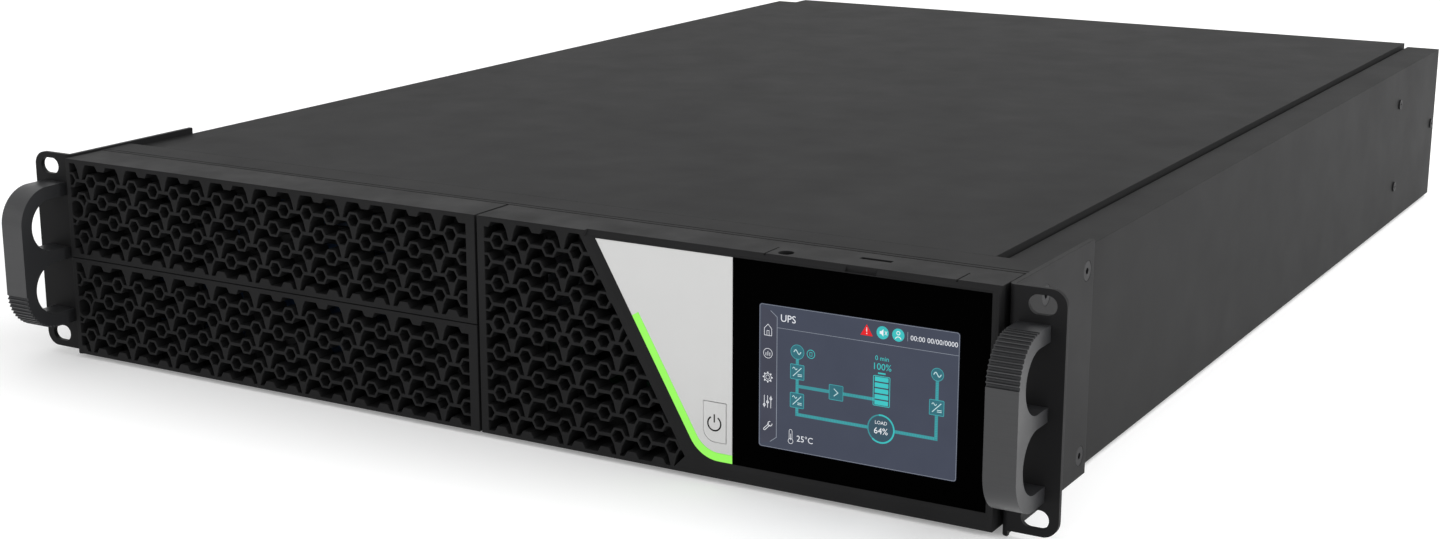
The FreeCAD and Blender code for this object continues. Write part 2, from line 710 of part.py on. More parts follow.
def build_cells(drawer, rise):
    """Twenty-four sealed cells lying across the tray in two columns."""
    radius, span = mm("cell_radius"), mm("cell_span")
    cells = []
    for left in (-206.0, -134.0):
        for place in range(12):
            y = 44 + mm("cell_pitch") * place
            z = mm("tray_floor") + 1 + radius + rise
            can = Part.makeCylinder(radius, span - 2.5, Vec(left, y, z), X_DIR)
            tip = Part.makeCylinder(5.0, 2.5, Vec(left + span - 2.5, y, z), X_DIR)
            cells.append(can.fuse(tip))
    return node(shaped(f"{drawer}_cells", Part.makeCompound(cells)), f"battery_cells_{drawer}")


def build_battery_board(drawer, rise):
    floor = 7 + rise
    board = box(f"{drawer}_bms_board", (-58, -8), (60, 400), (floor, floor + 1.6))
    extras = [
        box(f"{drawer}_bms_shunt", (-46, -30), (90, 130), (floor + 1.6, floor + 9)),
        box(f"{drawer}_bms_fuse", (-40, -22), (160, 210), (floor + 1.6, floor + 16)),
        box(f"{drawer}_bms_switches", (-52, -14), (250, 330), (floor + 1.6, floor + 12)),
    ]
    span = (f"tray_floor + 1 + {rise}", floor)
    for place, spot in enumerate(((-52, 66), (-14, 66), (-52, 394), (-14, 394))):
        extras.append(rod(f"{drawer}_bms_leg_{place}", "z", spot, span, "3"))
    return node(fuse(f"{drawer}_bms", board, *extras), f"battery_board_{drawer}")


def build_plug(drawer, rise):
    """The blind-mate connector at the back of the tray."""
    shell = box(f"{drawer}_plug_shell", (-121.5, -88.5), (424, 443), (12.5 + rise, 31.5 + rise))
    ys = ("tray_rear - 3.5", "tray_rear - 1")
    flange = box(f"{drawer}_plug_flange", (-126, -84), ys, (9 + rise, 35 + rise))
    mouth = box(f"{drawer}_plug_mouth", (-118, -92), (432, 444), (16 + rise, 28 + rise))
    body = fuse(f"{drawer}_plug_body", shell, flange)
    return node(cut(f"{drawer}_plug", body, mouth), f"battery_plug_{drawer}")


def build_lock_screw(drawer, rise):
    """The captive screw behind the round access hole, which ties the drawer to the front frame."""
    y = mm("panel_depth") + 0.1
    z = LOCK_Z + rise
    head = Part.makeCylinder(2.75, 3.0, Vec(LOCK_X, y - 3.0, z), Y_DIR)
    shank = Part.makeCylinder(1.95, 12.0, Vec(LOCK_X, y - 0.5, z), Y_DIR)
    slot = Part.makeBox(8, 2, 0.9, Vec(LOCK_X - 4, y - 4.0, z - 0.45))
    screw = head.fuse(shank).cut(slot)
    return node(shaped(f"{drawer}_lock_screw", screw), f"drawer_screw_{drawer}")


def build_drawers():
    half_gap = "split_gap / 2"
    for drawer, low, high, lift, rise in (
        ("lower", "0", f"split - {half_gap}", 0.0, 0.0),
        ("upper", f"split + {half_gap}", "panel_top", mm("door_pitch"), mm("tray_pitch")),
    ):
        build_door(drawer, low, high, lift)
        build_tray(drawer, rise, lift)
        build_cells(drawer, rise)
        build_battery_board(drawer, rise)
        build_plug(drawer, rise)
        build_lock_screw(drawer, lift)


def build_bay():
    """What the drawers run in: a wall on the right, a shelf between them, sockets behind them."""
    start = "frame_front + steel + 0.2"
    side = "seam_right + 0.2"
    wall = box("bay_wall", (side, f"{side} + steel"), (start, 600), ("steel", 83))
    foot = box("bay_foot", (side, "seam_right + 11"), (start, 600), ("steel", "2 * steel"))
    node(fuse("bay_angle", wall, foot), "bay_divider")
    shelf_ys = (start, 444)
    left = "-case_half + 2 * (steel + fit_gap)"
    shelf = box("shelf_plate", (left, "seam_right"), shelf_ys, (43.3, 44.3))
    lip = box("shelf_lip", (left, f"{left} + steel"), shelf_ys, (43.3, 54))
    node(fuse("shelf", shelf, lip), "drawer_shelf")
    board = box("backplane_board", (-206, -6), (448, 449.6), ("steel", 82))
    blocks = [
        box(f"backplane_block_{place}", (-117, -93), (434, 448.5), (17 + rise, 27 + rise))
        for place, rise in enumerate((0, mm("tray_pitch")))
    ]
    node(fuse("backplane", board, *blocks), "battery_backplane")


# ---------------------------------------------------------------- display side

SLOPE = math.tan(math.radians(30))
DISPLAY_WINDOW_TOP = (48.6, 85.9)
DISPLAY_ROWS = [87.03, 78.6, 70.17, 61.74, 53.31, 45.7, 42.8, 34.2, 25.82, 17.39, 8.96, 0.53]
SEAM_BAND_ROW = 5


def slanted(x_top, z_top, z):
    """Where the fascia's slanted side stands at height z."""
    return x_top + (z_top - z) * SLOPE


def bent_path(x_top, z_top, z_low, radius, x_end):
    """Points and arc of a line that leans down at 30 degrees and sweeps level at z_low."""
    meet = slanted(x_top, z_top, z_low)
    run = radius * math.tan(math.radians(30))
    start = (meet - run * math.sin(math.radians(30)), z_low + run * math.cos(math.radians(30)))
    end = (meet + run, z_low)
    centre = (end[0], z_low + radius)
    angle = math.radians(240)
    middle = (centre[0] + radius * math.cos(angle), centre[1] + radius * math.sin(angle))
    return start, middle, end, (x_end, z_low)


def fascia_wire(y, left, top, right, low, radius):
    """A closed outline of the fascia recess at depth y."""
    start, middle, end, corner = bent_path(left, top, low, radius, right)

    def at(place):
        return Vec(place[0], y, place[1])

    edges = [
        Part.makeLine(at((left, top)), at(start)),
        Part.Arc(at(start), at(middle), at(end)).toShape(),
        Part.makeLine(at(end), at(corner)),
        Part.makeLine(at(corner), at((right, top))),
        Part.makeLine(at((right, top)), at((left, top))),
    ]
    return Part.Wire(edges)


def fascia_recess():
    """The room for the fascia and glass, with a bevel that opens towards the front."""
    left, top, low = mm("fascia_left"), mm("fascia_top"), mm("fascia_low")
    right = mm("glass_right") + 0.1
    depth, floor = mm("fascia_front"), mm("recess_floor")
    inner = fascia_wire(depth, left, top, right, low, 14.0)
    straight = Part.Face(inner).extrude(Vec(0, floor - depth, 0))
    outer = fascia_wire(-0.2, left - 4.8, top + 2.4, right + 2.2, low - 2.3, 17.0)
    bevel = Part.makeLoft([outer, inner], True, True)
    return straight.fuse(bevel)


BEZEL_BOSSES = [
    (7.6, 22.0, "grille_depth - 0.5", "5.5"),
    (7.6, 68.0, "grille_depth - 0.5", "5.5"),
    (212.4, 22.0, "recess_floor + 1.5", "3.4"),
    (212.4, 66.0, "recess_floor + 1.5", "3.4"),
]


def build_bezel_screws():
    """Pan-headed screws from behind the front frame into the bezel's bosses."""
    back = mm("frame_front") + mm("steel")
    screws = []
    for x, z, _, _ in BEZEL_BOSSES:
        head = Part.makeCylinder(2.8, 1.8, Vec(x, back, z), Y_DIR)
        shank = Part.makeCylinder(1.45, 7.6, Vec(x, back - 7.4, z), Y_DIR)
        cross = Part.makeBox(3.4, 2, 0.7, Vec(x - 1.7, back + 1.0, z - 0.35))
        cross = cross.fuse(Part.makeBox(0.7, 2, 3.4, Vec(x - 0.35, back + 1.0, z - 1.7)))
        screws.append(head.fuse(shank).cut(cross))
    return node(shaped("bezel_screw_set", Part.makeCompound(screws)), "bezel_screws")


def build_display_bezel():
    xs = ("seam_right", "panel_half")
    block = profile(
        "bezel_block",
        "YZ_Plane",
        xs,
        [("0", "0"), ("panel_depth", "0"), ("panel_depth", "panel_top"), ("0", "panel_top")],
    )
    back = "panel_depth + 1"
    hollow_low = box(
        "bezel_hollow_grille",
        ("seam_right + wall", 98),
        ("grille_depth", back),
        (1.5, "panel_top - 1.5"),
    )
    hollow_high = box(
        "bezel_hollow_display",
        (98, "panel_half - wall"),
        ("recess_floor + 2", back),
        (2.5, "panel_top - wall"),
    )
    crown = prism_x([(-0.1, 85.2), (-0.1, 88.0), (2.7, 88.0)], 51.0, 220.0)
    shell = cut(
        "bezel_shell",
        block,
        hollow_low,
        hollow_high,
        shaped("bezel_recess", fascia_recess()),
        shaped("bezel_crown_bevel", crown),
    )
    x_top, z_top = DISPLAY_WINDOW_TOP
    window = [(4.7, 1.5), (90.0, 1.5), (slanted(x_top, z_top, 6.2), 6.2), DISPLAY_WINDOW_TOP, (4.7, z_top)]
    rows = alternate_rows(DISPLAY_ROWS[:6], 10.88, 22.92, 16.9, 16.9)
    rows += alternate_rows(DISPLAY_ROWS[6:], 10.88, 22.92, 16.9, 16.9)
    rows[SEAM_BAND_ROW] = (*rows[SEAM_BAND_ROW][:3], False)
    honeycomb = shaped("bezel_honeycomb", grille_panel(window, rows, []))
    face = ("fascia_front", "grille_depth + 2")
    tools = [
        shaped("bezel_window", prism(window, -1, mm("grille_depth") + 1)),
        box("bezel_screen_window", (122, 209), face, (12, 74)),
        box("bezel_key_hole", (103.7, 110.3), face, (16.6, 26.4)),
        rod("bezel_top_hole", "z", (133.1, 6.8), ("panel_top - 4", "panel_top + 1"), "2.95"),
        box("bezel_top_slot", (159.6, 171.9), (12.4, 14.8), ("panel_top - 4", "panel_top + 1")),
        box("bezel_front_slot", (159.6, 171.9), (0.5, 2.0), (85.5, "panel_top + 1")),
        box("bezel_slit_left", (126.6, 127.2), (1.8, 12.9), ("panel_top - 1.4", "panel_top + 1")),
        box("bezel_slit_right", (201.6, 202.2), (1.8, 12.9), ("panel_top - 1.4", "panel_top + 1")),
    ]
    posts = [
        rod(f"bezel_post_{place}", "y", where, ("recess_floor + 1.5", "10"), "2.6")
        for place, where in enumerate(((117, 8), (204, 8), (117, 79), (204, 79)))
    ]
    for place, (x, z, start, radius) in enumerate(BEZEL_BOSSES):
        post = rod(f"bezel_boss_{place}", "y", (x, z), (start, "frame_front"), radius)
        core = rod(f"bezel_core_{place}", "y", (x, z), ("frame_front - 7", "frame_front + 1"), "1.5")
        posts.append(cut(f"bezel_bored_boss_{place}", post, core))
    body = fuse("bezel_body", cut("bezel_cut", shell, *tools), honeycomb, *posts)
    return node(body, "display_bezel")


def prism_x(corners, low, high):
    """A plain solid with its outline in Y and Z, from low to high in X."""
    wire = Part.makePolygon([Vec(low, y, z) for y, z in corners + corners[:1]])
    return Part.Face(wire).extrude(Vec(high - low, 0, 0))


def bar_and_fascia_shapes():
    """The light bar that follows the slanted edge, and the fascia panel inside it."""
    gap = 0.05
    front, floor = mm("fascia_front"), mm("recess_floor")
    left, top, low = mm("fascia_left"), mm("fascia_top"), mm("fascia_low")
    right = mm("glass_left") - 0.1
    wide = mm("bar_wide")
    full = Part.Face(fascia_wire(0, left + gap, top - gap, right, low + gap, 14.0))
    step = wide / math.cos(math.radians(30))
    inner = Part.Face(fascia_wire(0, left + gap + step, top - gap, right, low + gap + wide, 11.0))
    bar_top = mm("bar_top")
    x_cut = slanted(left, top, bar_top)
    across = Vec(math.cos(math.radians(30)), 0, math.sin(math.radians(30)))
    along = Vec(math.sin(math.radians(30)), 0, -math.cos(math.radians(30)))
    corner = Vec(x_cut, 0, bar_top) - across * 2
    below = [corner, corner + across * 80, corner + across * 80 + along * 120, corner + along * 120]
    cap = Part.Face(Part.makePolygon(below + below[:1]))
    strip = full.cut(inner).common(cap)
    parting = 0.25
    slim = Part.Face(
        fascia_wire(0, left + gap + step + parting, top - gap, right, low + gap + parting + wide, 11.0)
    )
    panel = full.cut(strip).common(full.cut(cap).fuse(slim)).removeSplitter()
    depth = Vec(0, floor - front, 0)
    bar = strip.Faces[0].extrude(depth).translated(Vec(0, front, 0))
    panel = Part.makeCompound([face.extrude(depth) for face in panel.Faces]).translated(Vec(0, front, 0))
    return bar, panel.Solids[0]


def key_outline(slack):
    """The power key's outline: a tall rectangle with its lower left corner swept away."""
    left, right = mm("key_left") - slack, mm("key_right") + slack
    low, high = mm("key_low") - slack, mm("key_high") + slack
    sweep = 4.8
    start, end = Vec(left, 0, low + sweep), Vec(left + sweep, 0, low)
    middle = Vec(left + sweep * (1 - math.sqrt(0.5)), 0, low + sweep * (1 - math.sqrt(0.5)))
    edges = [
        Part.Arc(start, middle, end).toShape(),
        Part.makeLine(end, Vec(right, 0, low)),
        Part.makeLine(Vec(right, 0, low), Vec(right, 0, high)),
        Part.makeLine(Vec(right, 0, high), Vec(left, 0, high)),
        Part.makeLine(Vec(left, 0, high), start),
    ]
    return Part.Face(Part.Wire(edges))


def build_display_front():
    bar, panel = bar_and_fascia_shapes()
    front, floor = mm("fascia_front"), mm("recess_floor")
    hole = key_outline(0.2).extrude(Vec(0, 6, 0))
    node(shaped("light_bar_shape", bar), "light_bar")
    node(shaped("fascia_shape", panel.cut(hole)), "fascia_panel")
    cap = key_outline(0.0).extrude(Vec(0, 1.45, 0)).translated(Vec(0, front - 0.15, 0))
    stem = Part.makeBox(6.0, 2.5, 9.2, Vec(104.0, front + 1.2, 16.9))
    node(shaped("key_shape", cap.fuse(stem)), "power_button")
    glass = box(
        "glass",
        ("glass_left", "glass_right"),
        ("fascia_front - 0.1", "recess_floor"),
        ("fascia_low + 0.1", "fascia_top - 0.1"),
    )
    node(glass, "display_glass")
    screen = box("lcd_body", (122.4, 208.6), (floor + 0.1, 8.5), (12.4, 73.6))
    node(screen, "lcd_module")
    board = box("panel_board_plate", (100, 208), (10, 11.6), (4, 83))
    ribbon = box("panel_board_socket", (150, 180), (11.6, 16), (20, 27))
    node(fuse("panel_board_body", board, ribbon), "panel_board")
    can = box("switch_can", (103.9, 110.1), (6.6, 10), (18.3, 24.5))
    tip = rod("switch_tip", "y", (107.0, 21.4), (5.6, 7), "1.75")
    node(fuse("switch_body", can, tip), "button_switch")


# ---------------------------------------------------------------- electronics


def finned(name, xs, ys, zs, fins):
    """A heatsink: a solid back with fins across it that point to the right."""
    block = box(f"{name}_block", xs, ys, zs)
    low, high = zs
    pitch = (high - low) / fins
    slots = []
    for fin in range(fins - 1):
        z = low + pitch * (fin + 1)
        zs_slot = (z - pitch * 0.32, z + pitch * 0.32)
        slots.append(box(f"{name}_slot_{fin}", (xs[0] + 6, xs[1] + 1), (ys[0] - 1, ys[1] + 1), zs_slot))
    return cut(name, block, *slots)


def build_electronics():
    top = 7.6
    board_zs = ("standoff_top", "standoff_top + 1.6")
    node(box("power_board_plate", (8, 212), (60, 600), board_zs), "power_board")
    node(finned("sink_a", (14, 54), (90, 250), (top, 70), 11), "inverter_heatsink")
    node(finned("sink_b", (14, 54), (280, 440), (top, 70), 11), "rectifier_heatsink")
    cans = []
    for place in range(6):
        spot = (80 + 38 * (place % 3), 110 + 40 * (place // 3))
        cans.append(rod(f"capacitor_{place}", "z", spot, (top, 60), "16"))
    node(group("capacitors", *cans), "capacitor_bank")
    coils = []
    for place, (x, y) in enumerate(((88, 230), (134, 230), (110, 290))):
        coils.append(Part.makeTorus(14, 7.5, Vec(x, y, top + 7.6), Z_DIR))
    node(shaped("coils", Part.makeCompound(coils)), "inductor_coils")
    core = box("transformer_core", (75, 145), (340, 400), (top, 30))
    winding = box("transformer_winding", (86, 134), (332, 408), (12, 56))
    node(fuse("transformer_body", core, winding), "transformer")
    card = box("control_card", (178, 179.6), (180, 420), (top, 78))
    chips = box("control_chips", (172, 178.5), (240, 300), (30, 55))
    plug = box("control_plug", (170, 178.5), (340, 380), (60, 70))
    node(fuse("control_body", card, chips, plug), "control_board")


# ---------------------------------------------------------------- back

FAN_CORNERS = [(-35.75, -35.75), (35.75, -35.75), (-35.75, 35.75), (35.75, 35.75)]
OUTLETS = [(x, z) for z in (17.0, 45.5) for x in (48.0, 82.0, 116.0, 150.0)]
OUTLET_SIZE = (27.4, 20.8)
HEAVY_PLACE = (6.0, 62.0)
INLET_PLACE = (6.0, 24.0)
HEAVY_SIZE = (31.0, 25.0)
BREAKER_PLACE = (-28.0, 62.0)
STUD_PLACE = (-28.0, 20.0)
LINK_PLACE = (191.0, 31.0)
LINK_SIZE = (36.0, 24.0)
CARD_PLACE = (76.0, 73.0)
CARD_SIZE = (66.0, 15.0)
CARD_SCREWS = [(40.0, 73.0), (112.0, 73.0)]
USB_PLACE = (132.0, 73.0)
SERIAL_PLACE = (160.0, 73.0)
EPO_PLACE = (191.0, 72.0)
REAR_CUTOUTS = [(x, z, *OUTLET_SIZE) for x, z in OUTLETS]
REAR_CUTOUTS += [(*HEAVY_PLACE, *HEAVY_SIZE), (*INLET_PLACE, *HEAVY_SIZE), (*LINK_PLACE, *LINK_SIZE)]
REAR_CUTOUTS += [(*CARD_PLACE, *CARD_SIZE), (*USB_PLACE, 13.0, 12.0), (*SERIAL_PLACE, 20.0, 11.0)]
REAR_CUTOUTS += [(*EPO_PLACE, 16.0, 10.0)]
REAR_HOLES = [(*BREAKER_PLACE, 5.7), (*STUD_PLACE, 2.7)]
REAR_HOLES += [(x, z, 1.7) for x, z in CARD_SCREWS]


def build_fan(side):
    """A square fan frame with four struts that carry the motor's bearing at its inner end."""
    middle, mid_z = mm(f"fan_{side}_place"), mm("fan_mid")
    rear = "panel_in"
    front = "panel_in - fan_thick"
    where = (f"fan_{side}_place", "fan_mid")
    block = box(
        f"fan_{side}_block",
        (f"fan_{side}_place - fan_half", f"fan_{side}_place + fan_half"),
        (front, rear),
        ("fan_mid - fan_half", "fan_mid + fan_half"),
    )
    bore = rod(f"fan_{side}_bore", "y", where, (f"{front} - 1", f"{rear} + 1"), "fan_bore")
    holes = []
    for place, (dx, dz) in enumerate(FAN_CORNERS):
        spot = (f"fan_{side}_place + {dx}", f"fan_mid + {dz}")
        holes.append(rod(f"fan_{side}_hole_{place}", "y", spot, (f"{front} - 1", f"{rear} + 1"), "2.15"))
    frame = cut(f"fan_{side}_ring", block, bore, *holes)
    thick = (front, f"{front} + 3")
    hub = rod(f"fan_{side}_hub", "y", where, thick, "15")
    long_x, thin_x = [(f"{where[0]} - {half}", f"{where[0]} + {half}") for half in (39, 2)]
    long_z, thin_z = [(f"fan_mid - {half}", f"fan_mid + {half}") for half in (39, 2)]
    struts = [
        box(f"fan_{side}_strut_x", long_x, thick, thin_z),
        box(f"fan_{side}_strut_z", thin_x, thick, long_z),
    ]
    axle_bore = rod(f"fan_{side}_axle_bore", "y", where, (f"{front} - 1", f"{front} + 4"), "1.55")
    spider = fuse(f"fan_{side}_spider", frame, hub, *struts)
    node(cut(f"fan_{side}_frame", spider, axle_bore), f"fan_frame_{side}")
    start = mm("panel_in") - mm("fan_thick")
    cap = Part.makeCylinder(16.0, 18.5, Vec(middle, start + 3.6, mid_z), Y_DIR)
    axle = Part.makeCylinder(1.5, 4.6, Vec(middle, start + 0.1, mid_z), Y_DIR)
    sweep = Part.makeCylinder(36.8, 18.0, Vec(middle, start + 4.0, mid_z), Y_DIR)
    blades = []
    for place in range(7):
        blade = Part.makeBox(1.6, 40.0, 26.0, Vec(-0.8, -20.0, 13.0))
        blade.rotate(Vec(), Z_DIR, 38.0)
        blade.rotate(Vec(), Y_DIR, place * 360.0 / 7)
        blade.translate(Vec(middle, start + 13.0, mid_z))
        blades.append(blade.common(sweep))
    node(shaped(f"fan_{side}_blades", cap.fuse([axle] + blades)), f"fan_rotor_{side}")


def build_fan_guards():
    """Round wire guards: rings welded onto spokes, with an eyelet under each corner screw."""
    wire, eye_wire = 0.8, 0.9
    plane = mm("panel_out") + eye_wire
    guards = []
    for side in ("left", "right"):
        x, z = mm(f"fan_{side}_place"), mm("fan_mid")
        rings = [Part.makeTorus(r, wire, Vec(x, plane + 1.1, z), Y_DIR) for r in (10, 17, 24, 31, 38)]
        for dx, dz in FAN_CORNERS:
            reach = math.hypot(dx, dz)
            way = Vec(dx, 0, dz) / reach
            spoke = Part.makeCylinder(wire, reach - 3.0 - 8.5, Vec(x, plane, z) + way * 8.5, way)
            rings += [spoke, Part.makeTorus(3.0, eye_wire, Vec(x + dx, plane, z + dz), Y_DIR)]
        guards.append(rings[0].fuse(rings[1:]))
    return node(shaped("guard_set", Part.makeCompound(guards)), "fan_guards")


def build_fan_screws():
    seat = mm("panel_out") + 1.8
    screws = []
    for side in ("left", "right"):
        for dx, dz in FAN_CORNERS:
            x, z = mm(f"fan_{side}_place") + dx, mm("fan_mid") + dz
            head = Part.makeCylinder(3.6, 2.0, Vec(x, seat, z), Y_DIR)
            shank = Part.makeCylinder(1.9, 18.5, Vec(x, seat - 18.0, z), Y_DIR)
            cross = Part.makeBox(4.4, 2, 0.9, Vec(x - 2.2, seat + 1.0, z - 0.45))
            cross = cross.fuse(Part.makeBox(0.9, 2, 4.4, Vec(x - 0.45, seat + 1.0, z - 2.2)))
            screws.append(head.fuse(shank).cut(cross))
    return node(shaped("fan_screw_set", Part.makeCompound(screws)), "fan_screws")


def bevelled(x, z, wide, high, bevel):
    """A rectangle about (x, z) with its top two corners cut off."""
    a, b = wide / 2, high / 2
    corners = [(-a, -b), (a, -b), (a, b - bevel), (a - bevel, b), (-a + bevel, b), (-a, b - bevel)]
    return [(x + u, z + w) for u, w in corners]


def tapered(x, z, half_top, half_foot, half_high):
    """An outline about (x, z) that narrows from its top to its foot."""
    return [
        (x - half_top, z + half_high),
        (x + half_top, z + half_high),
        (x + half_foot, z - half_high),
        (x - half_foot, z - half_high),
    ]


def power_outlet(x, z):
    """An appliance outlet: a flange, a recess round a raised core, and three contact slots."""
    out = mm("panel_out")
    body = prism(bevelled(x, z, 27.0, 20.4, 1.0), out - 24, out + 0.5)
    flange = prism(bevelled(x, z, 31.5, 25.0, 1.5), out, out + 2.0)
    groove = prism(bevelled(x, z, 23.6, 17.0, 3.5), out - 14, out + 3.0)
    core = prism(bevelled(x, z, 19.6, 13.0, 3.0), out - 15, out + 1.2)
    solid = body.fuse(flange).cut(groove).fuse(core)
    slots = []
    for dx, dz in ((-6, -1.4), (6, -1.4), (0, 2.6)):
        slots.append(Part.makeBox(2.4, 14, 4.6, Vec(x + dx - 1.2, out - 10, z + dz - 2.3)))
    return solid.cut(slots).removeSplitter()


def blade_inlet(x, z, male):
    """The high-current inlet with three blades in a recess, or its matching outlet with slots."""
    out = mm("panel_out")
    body = prism(bevelled(x, z, 30.4, 24.4, 1.0), out - 26, out + 0.5)
    flange = prism(bevelled(x, z, 36.0, 29.5, 1.5), out, out + 2.2)
    pins = [(-6.5, -3.6), (6.5, -3.6), (0.0, 3.6)]
    if male:
        recess = prism(bevelled(x, z, 26.0, 20.0, 1.5), out - 18, out + 3.0)
        solid = body.fuse(flange).cut(recess)
        blades = [Part.makeBox(6.4, 18, 1.9, Vec(x + dx - 3.2, out - 19, z + dz - 0.95)) for dx, dz in pins]
        return solid.fuse(blades).removeSplitter()
    groove = prism(bevelled(x, z, 26.6, 20.6, 1.5), out - 14, out + 3.0)
    core = prism(bevelled(x, z, 22.6, 16.6, 1.2), out - 15, out + 1.2)
    slots = [Part.makeBox(6.8, 14, 2.4, Vec(x + dx - 3.4, out - 10, z + dz - 1.2)) for dx, dz in pins]
    return body.fuse(flange).cut(groove).fuse(core).cut(slots).removeSplitter()


def build_sockets():
    outlets = [power_outlet(x, z) for x, z in OUTLETS]
    node(shaped("outlet_set", Part.makeCompound(outlets)), "outlet_sockets")
    node(shaped("heavy_outlet_shape", blade_inlet(*HEAVY_PLACE, False)), "heavy_outlet")
    node(shaped("inlet_shape", blade_inlet(*INLET_PLACE, True)), "inlet_socket")
    out = mm("panel_out")
    x, z = LINK_PLACE
    body = prism(bevelled(x, z, 35.4, 23.4, 1.0), out - 30, out + 0.5)
    flange = prism(bevelled(x, z, 44.0, 30.0, 3.0), out, out + 2.5)
    mouths = [prism(bevelled(x + dx, z, 13.0, 16.0, 1.5), out - 18, out + 4) for dx in (-8.2, 8.2)]
    tongues = [Part.makeBox(6.0, 14, 2.2, Vec(x + dx - 3.0, out - 19, z - 1.1)) for dx in (-8.2, 8.2)]
    link = body.fuse(flange).cut(mouths).fuse(tongues).removeSplitter()
    node(shaped("link_shape", link), "battery_link_socket")


def build_breaker():
    out, inner = mm("panel_out"), mm("panel_in")
    x, z = BREAKER_PLACE
    case = Part.makeBox(14, 30, 32, Vec(x - 7, inner - 31, z - 16))
    neck = Part.makeCylinder(5.5, 7.5, Vec(x, inner - 1.2, z), Y_DIR)
    nut = Part.makeCylinder(8.0, 2.5, Vec(x, out, z), Y_DIR)
    bore = Part.makeCylinder(3.3, 20, Vec(x, inner - 10, z), Y_DIR)
    node(shaped("breaker_case", case.fuse([neck, nut]).cut(bore)), "breaker_body")
    key = Part.makeCylinder(3.2, 15.5, Vec(x, inner - 6.0, z), Y_DIR)
    dish = Part.makeSphere(9.0, Vec(x, inner + 9.5 + 8.5, z))
    node(shaped("breaker_key", key.cut(dish)), "breaker_button")


def build_rear_fittings():
    out, inner = mm("panel_out"), mm("panel_in")
    x, z = CARD_PLACE
    cover = box("card_cover_plate", (x - 40, x + 40), (out, out + 1.2), (z - 10.5, z + 10))
    holes = []
    for place, spot in enumerate(CARD_SCREWS):
        holes.append(rod(f"card_cover_hole_{place}", "y", spot, (out - 1, out + 3), "1.7"))
    node(cut("card_cover", cover, *holes), "card_slot_cover")
    screws = []
    for sx, sz in CARD_SCREWS:
        knob = Part.makeCylinder(3.8, 6.0, Vec(sx, out + 1.2, sz), Y_DIR)
        grooves = []
        for turn in range(16):
            angle = math.radians(22.5 * turn)
            spot = Vec(sx + 3.8 * math.cos(angle), out + 1.6, sz + 3.8 * math.sin(angle))
            grooves.append(Part.makeCylinder(0.35, 5.0, spot, Y_DIR))
        slot = Part.makeBox(9, 2, 0.9, Vec(sx - 4.5, out + 6.2, sz - 0.45))
        shank = Part.makeCylinder(1.5, 9.0, Vec(sx, out - 7.0, sz), Y_DIR)
        screws.append(knob.fuse(shank).cut(grooves + [slot]))
    node(shaped("card_screw_set", Part.makeCompound(screws)), "card_cover_screws")
    ux, uz = USB_PLACE
    usb = Part.makeBox(12.0, 17.0, 11.0, Vec(ux - 6.0, out - 16.0, uz - 5.5))
    usb = usb.cut(prism(bevelled(ux, uz, 8.6, 7.8, 1.6), out - 8, out + 2))
    usb = usb.fuse(Part.makeBox(5.6, 8.0, 3.2, Vec(ux - 2.8, out - 9.0, uz - 1.6)))
    sx, sz = SERIAL_PLACE
    shell = prism(tapered(sx, sz, 9.4, 7.8, 5.0), out - 12, out + 5)
    mouth = prism(tapered(sx, sz, 8.6, 7.2, 4.2), out + 1, out + 6)
    pins = []
    for count, dz in ((5, 1.4), (4, -1.4)):
        for pin in range(count):
            spot = Vec(sx + (pin - (count - 1) / 2) * 2.77, out, sz + dz)
            pins.append(Part.makeCylinder(0.5, 4.0, spot, Y_DIR))
    serial = shell.cut(mouth).fuse(pins)
    plate = Part.makeBox(30.8, 1.0, 12.4, Vec(sx - 15.4, out, sz - 6.2))
    nuts = [prism(hexagon(sx + dx, sz, 2.4), out + 0.5, out + 5.5) for dx in (-12.5, 12.5)]
    serial = serial.fuse([plate] + nuts)
    node(shaped("port_set", Part.makeCompound([usb, serial])), "data_ports")
    ex, ez = EPO_PLACE
    block = Part.makeBox(15.0, 18.0, 9.4, Vec(ex - 7.5, out - 12, ez - 4.7))
    wells = [Part.makeBox(5.0, 8.0, 4.0, Vec(ex + dx - 2.5, out + 0.5, ez - 3.7)) for dx in (-3.6, 3.6)]
    heads = [Part.makeCylinder(1.5, 3.0, Vec(ex + dx, out + 4.6, ez + 2.6), Y_DIR) for dx in (-3.6, 3.6)]
    node(shaped("epo_shape", block.cut(wells + heads)), "shutdown_terminal")
    gx, gz = STUD_PLACE
    stud = Part.makeCylinder(2.5, 20.0, Vec(gx, inner - 6, gz), Y_DIR)
    nut_in = prism(hexagon(gx, gz, 4.0), inner - 4.0, inner)
    nut_out = prism(hexagon(gx, gz, 4.0), out + 1.2, out + 5.2)
    washer = Part.makeCylinder(5.0, 1.2, Vec(gx, out, gz), Y_DIR)
    node(shaped("stud_shape", stud.fuse([nut_in, nut_out, washer])), "ground_stud")


# ---------------------------------------------------------------- build, check and write


def build_all():
    build_chassis_base()
    build_top_cover()
    build_front_frame()
    build_rear_panel()
    build_feet()
    build_ear("left")
    build_ear("right")
    build_handles()
    build_handle_screws()
    build_ear_screws()
    build_side_screws()
    build_drawers()
    build_bay()
    build_display_bezel()
    build_bezel_screws()
    build_display_front()
    build_electronics()
    build_fan("left")
    build_fan("right")
    build_fan_guards()
    build_fan_screws()
    build_sockets()
    build_breaker()
    build_rear_fittings()


def check_and_write():
    doc.recompute()
    for made in doc.Objects:
        if {"Invalid", "Error"} & set(made.State):
            raise RuntimeError(f"{made.Label} did not rebuild: {made.State}")
    for label, made in NODES.items():
        if made.Shape.isNull() or not made.Shape.isValid() or not made.Shape.Solids:
            raise RuntimeError(f"{label} has no valid solid")
    os.makedirs("parts", exist_ok=True)
    for label, made in NODES.items():
        made.Shape.exportStep(f"parts/{label}.step")


build_all()
check_and_write()
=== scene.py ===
import json
import math

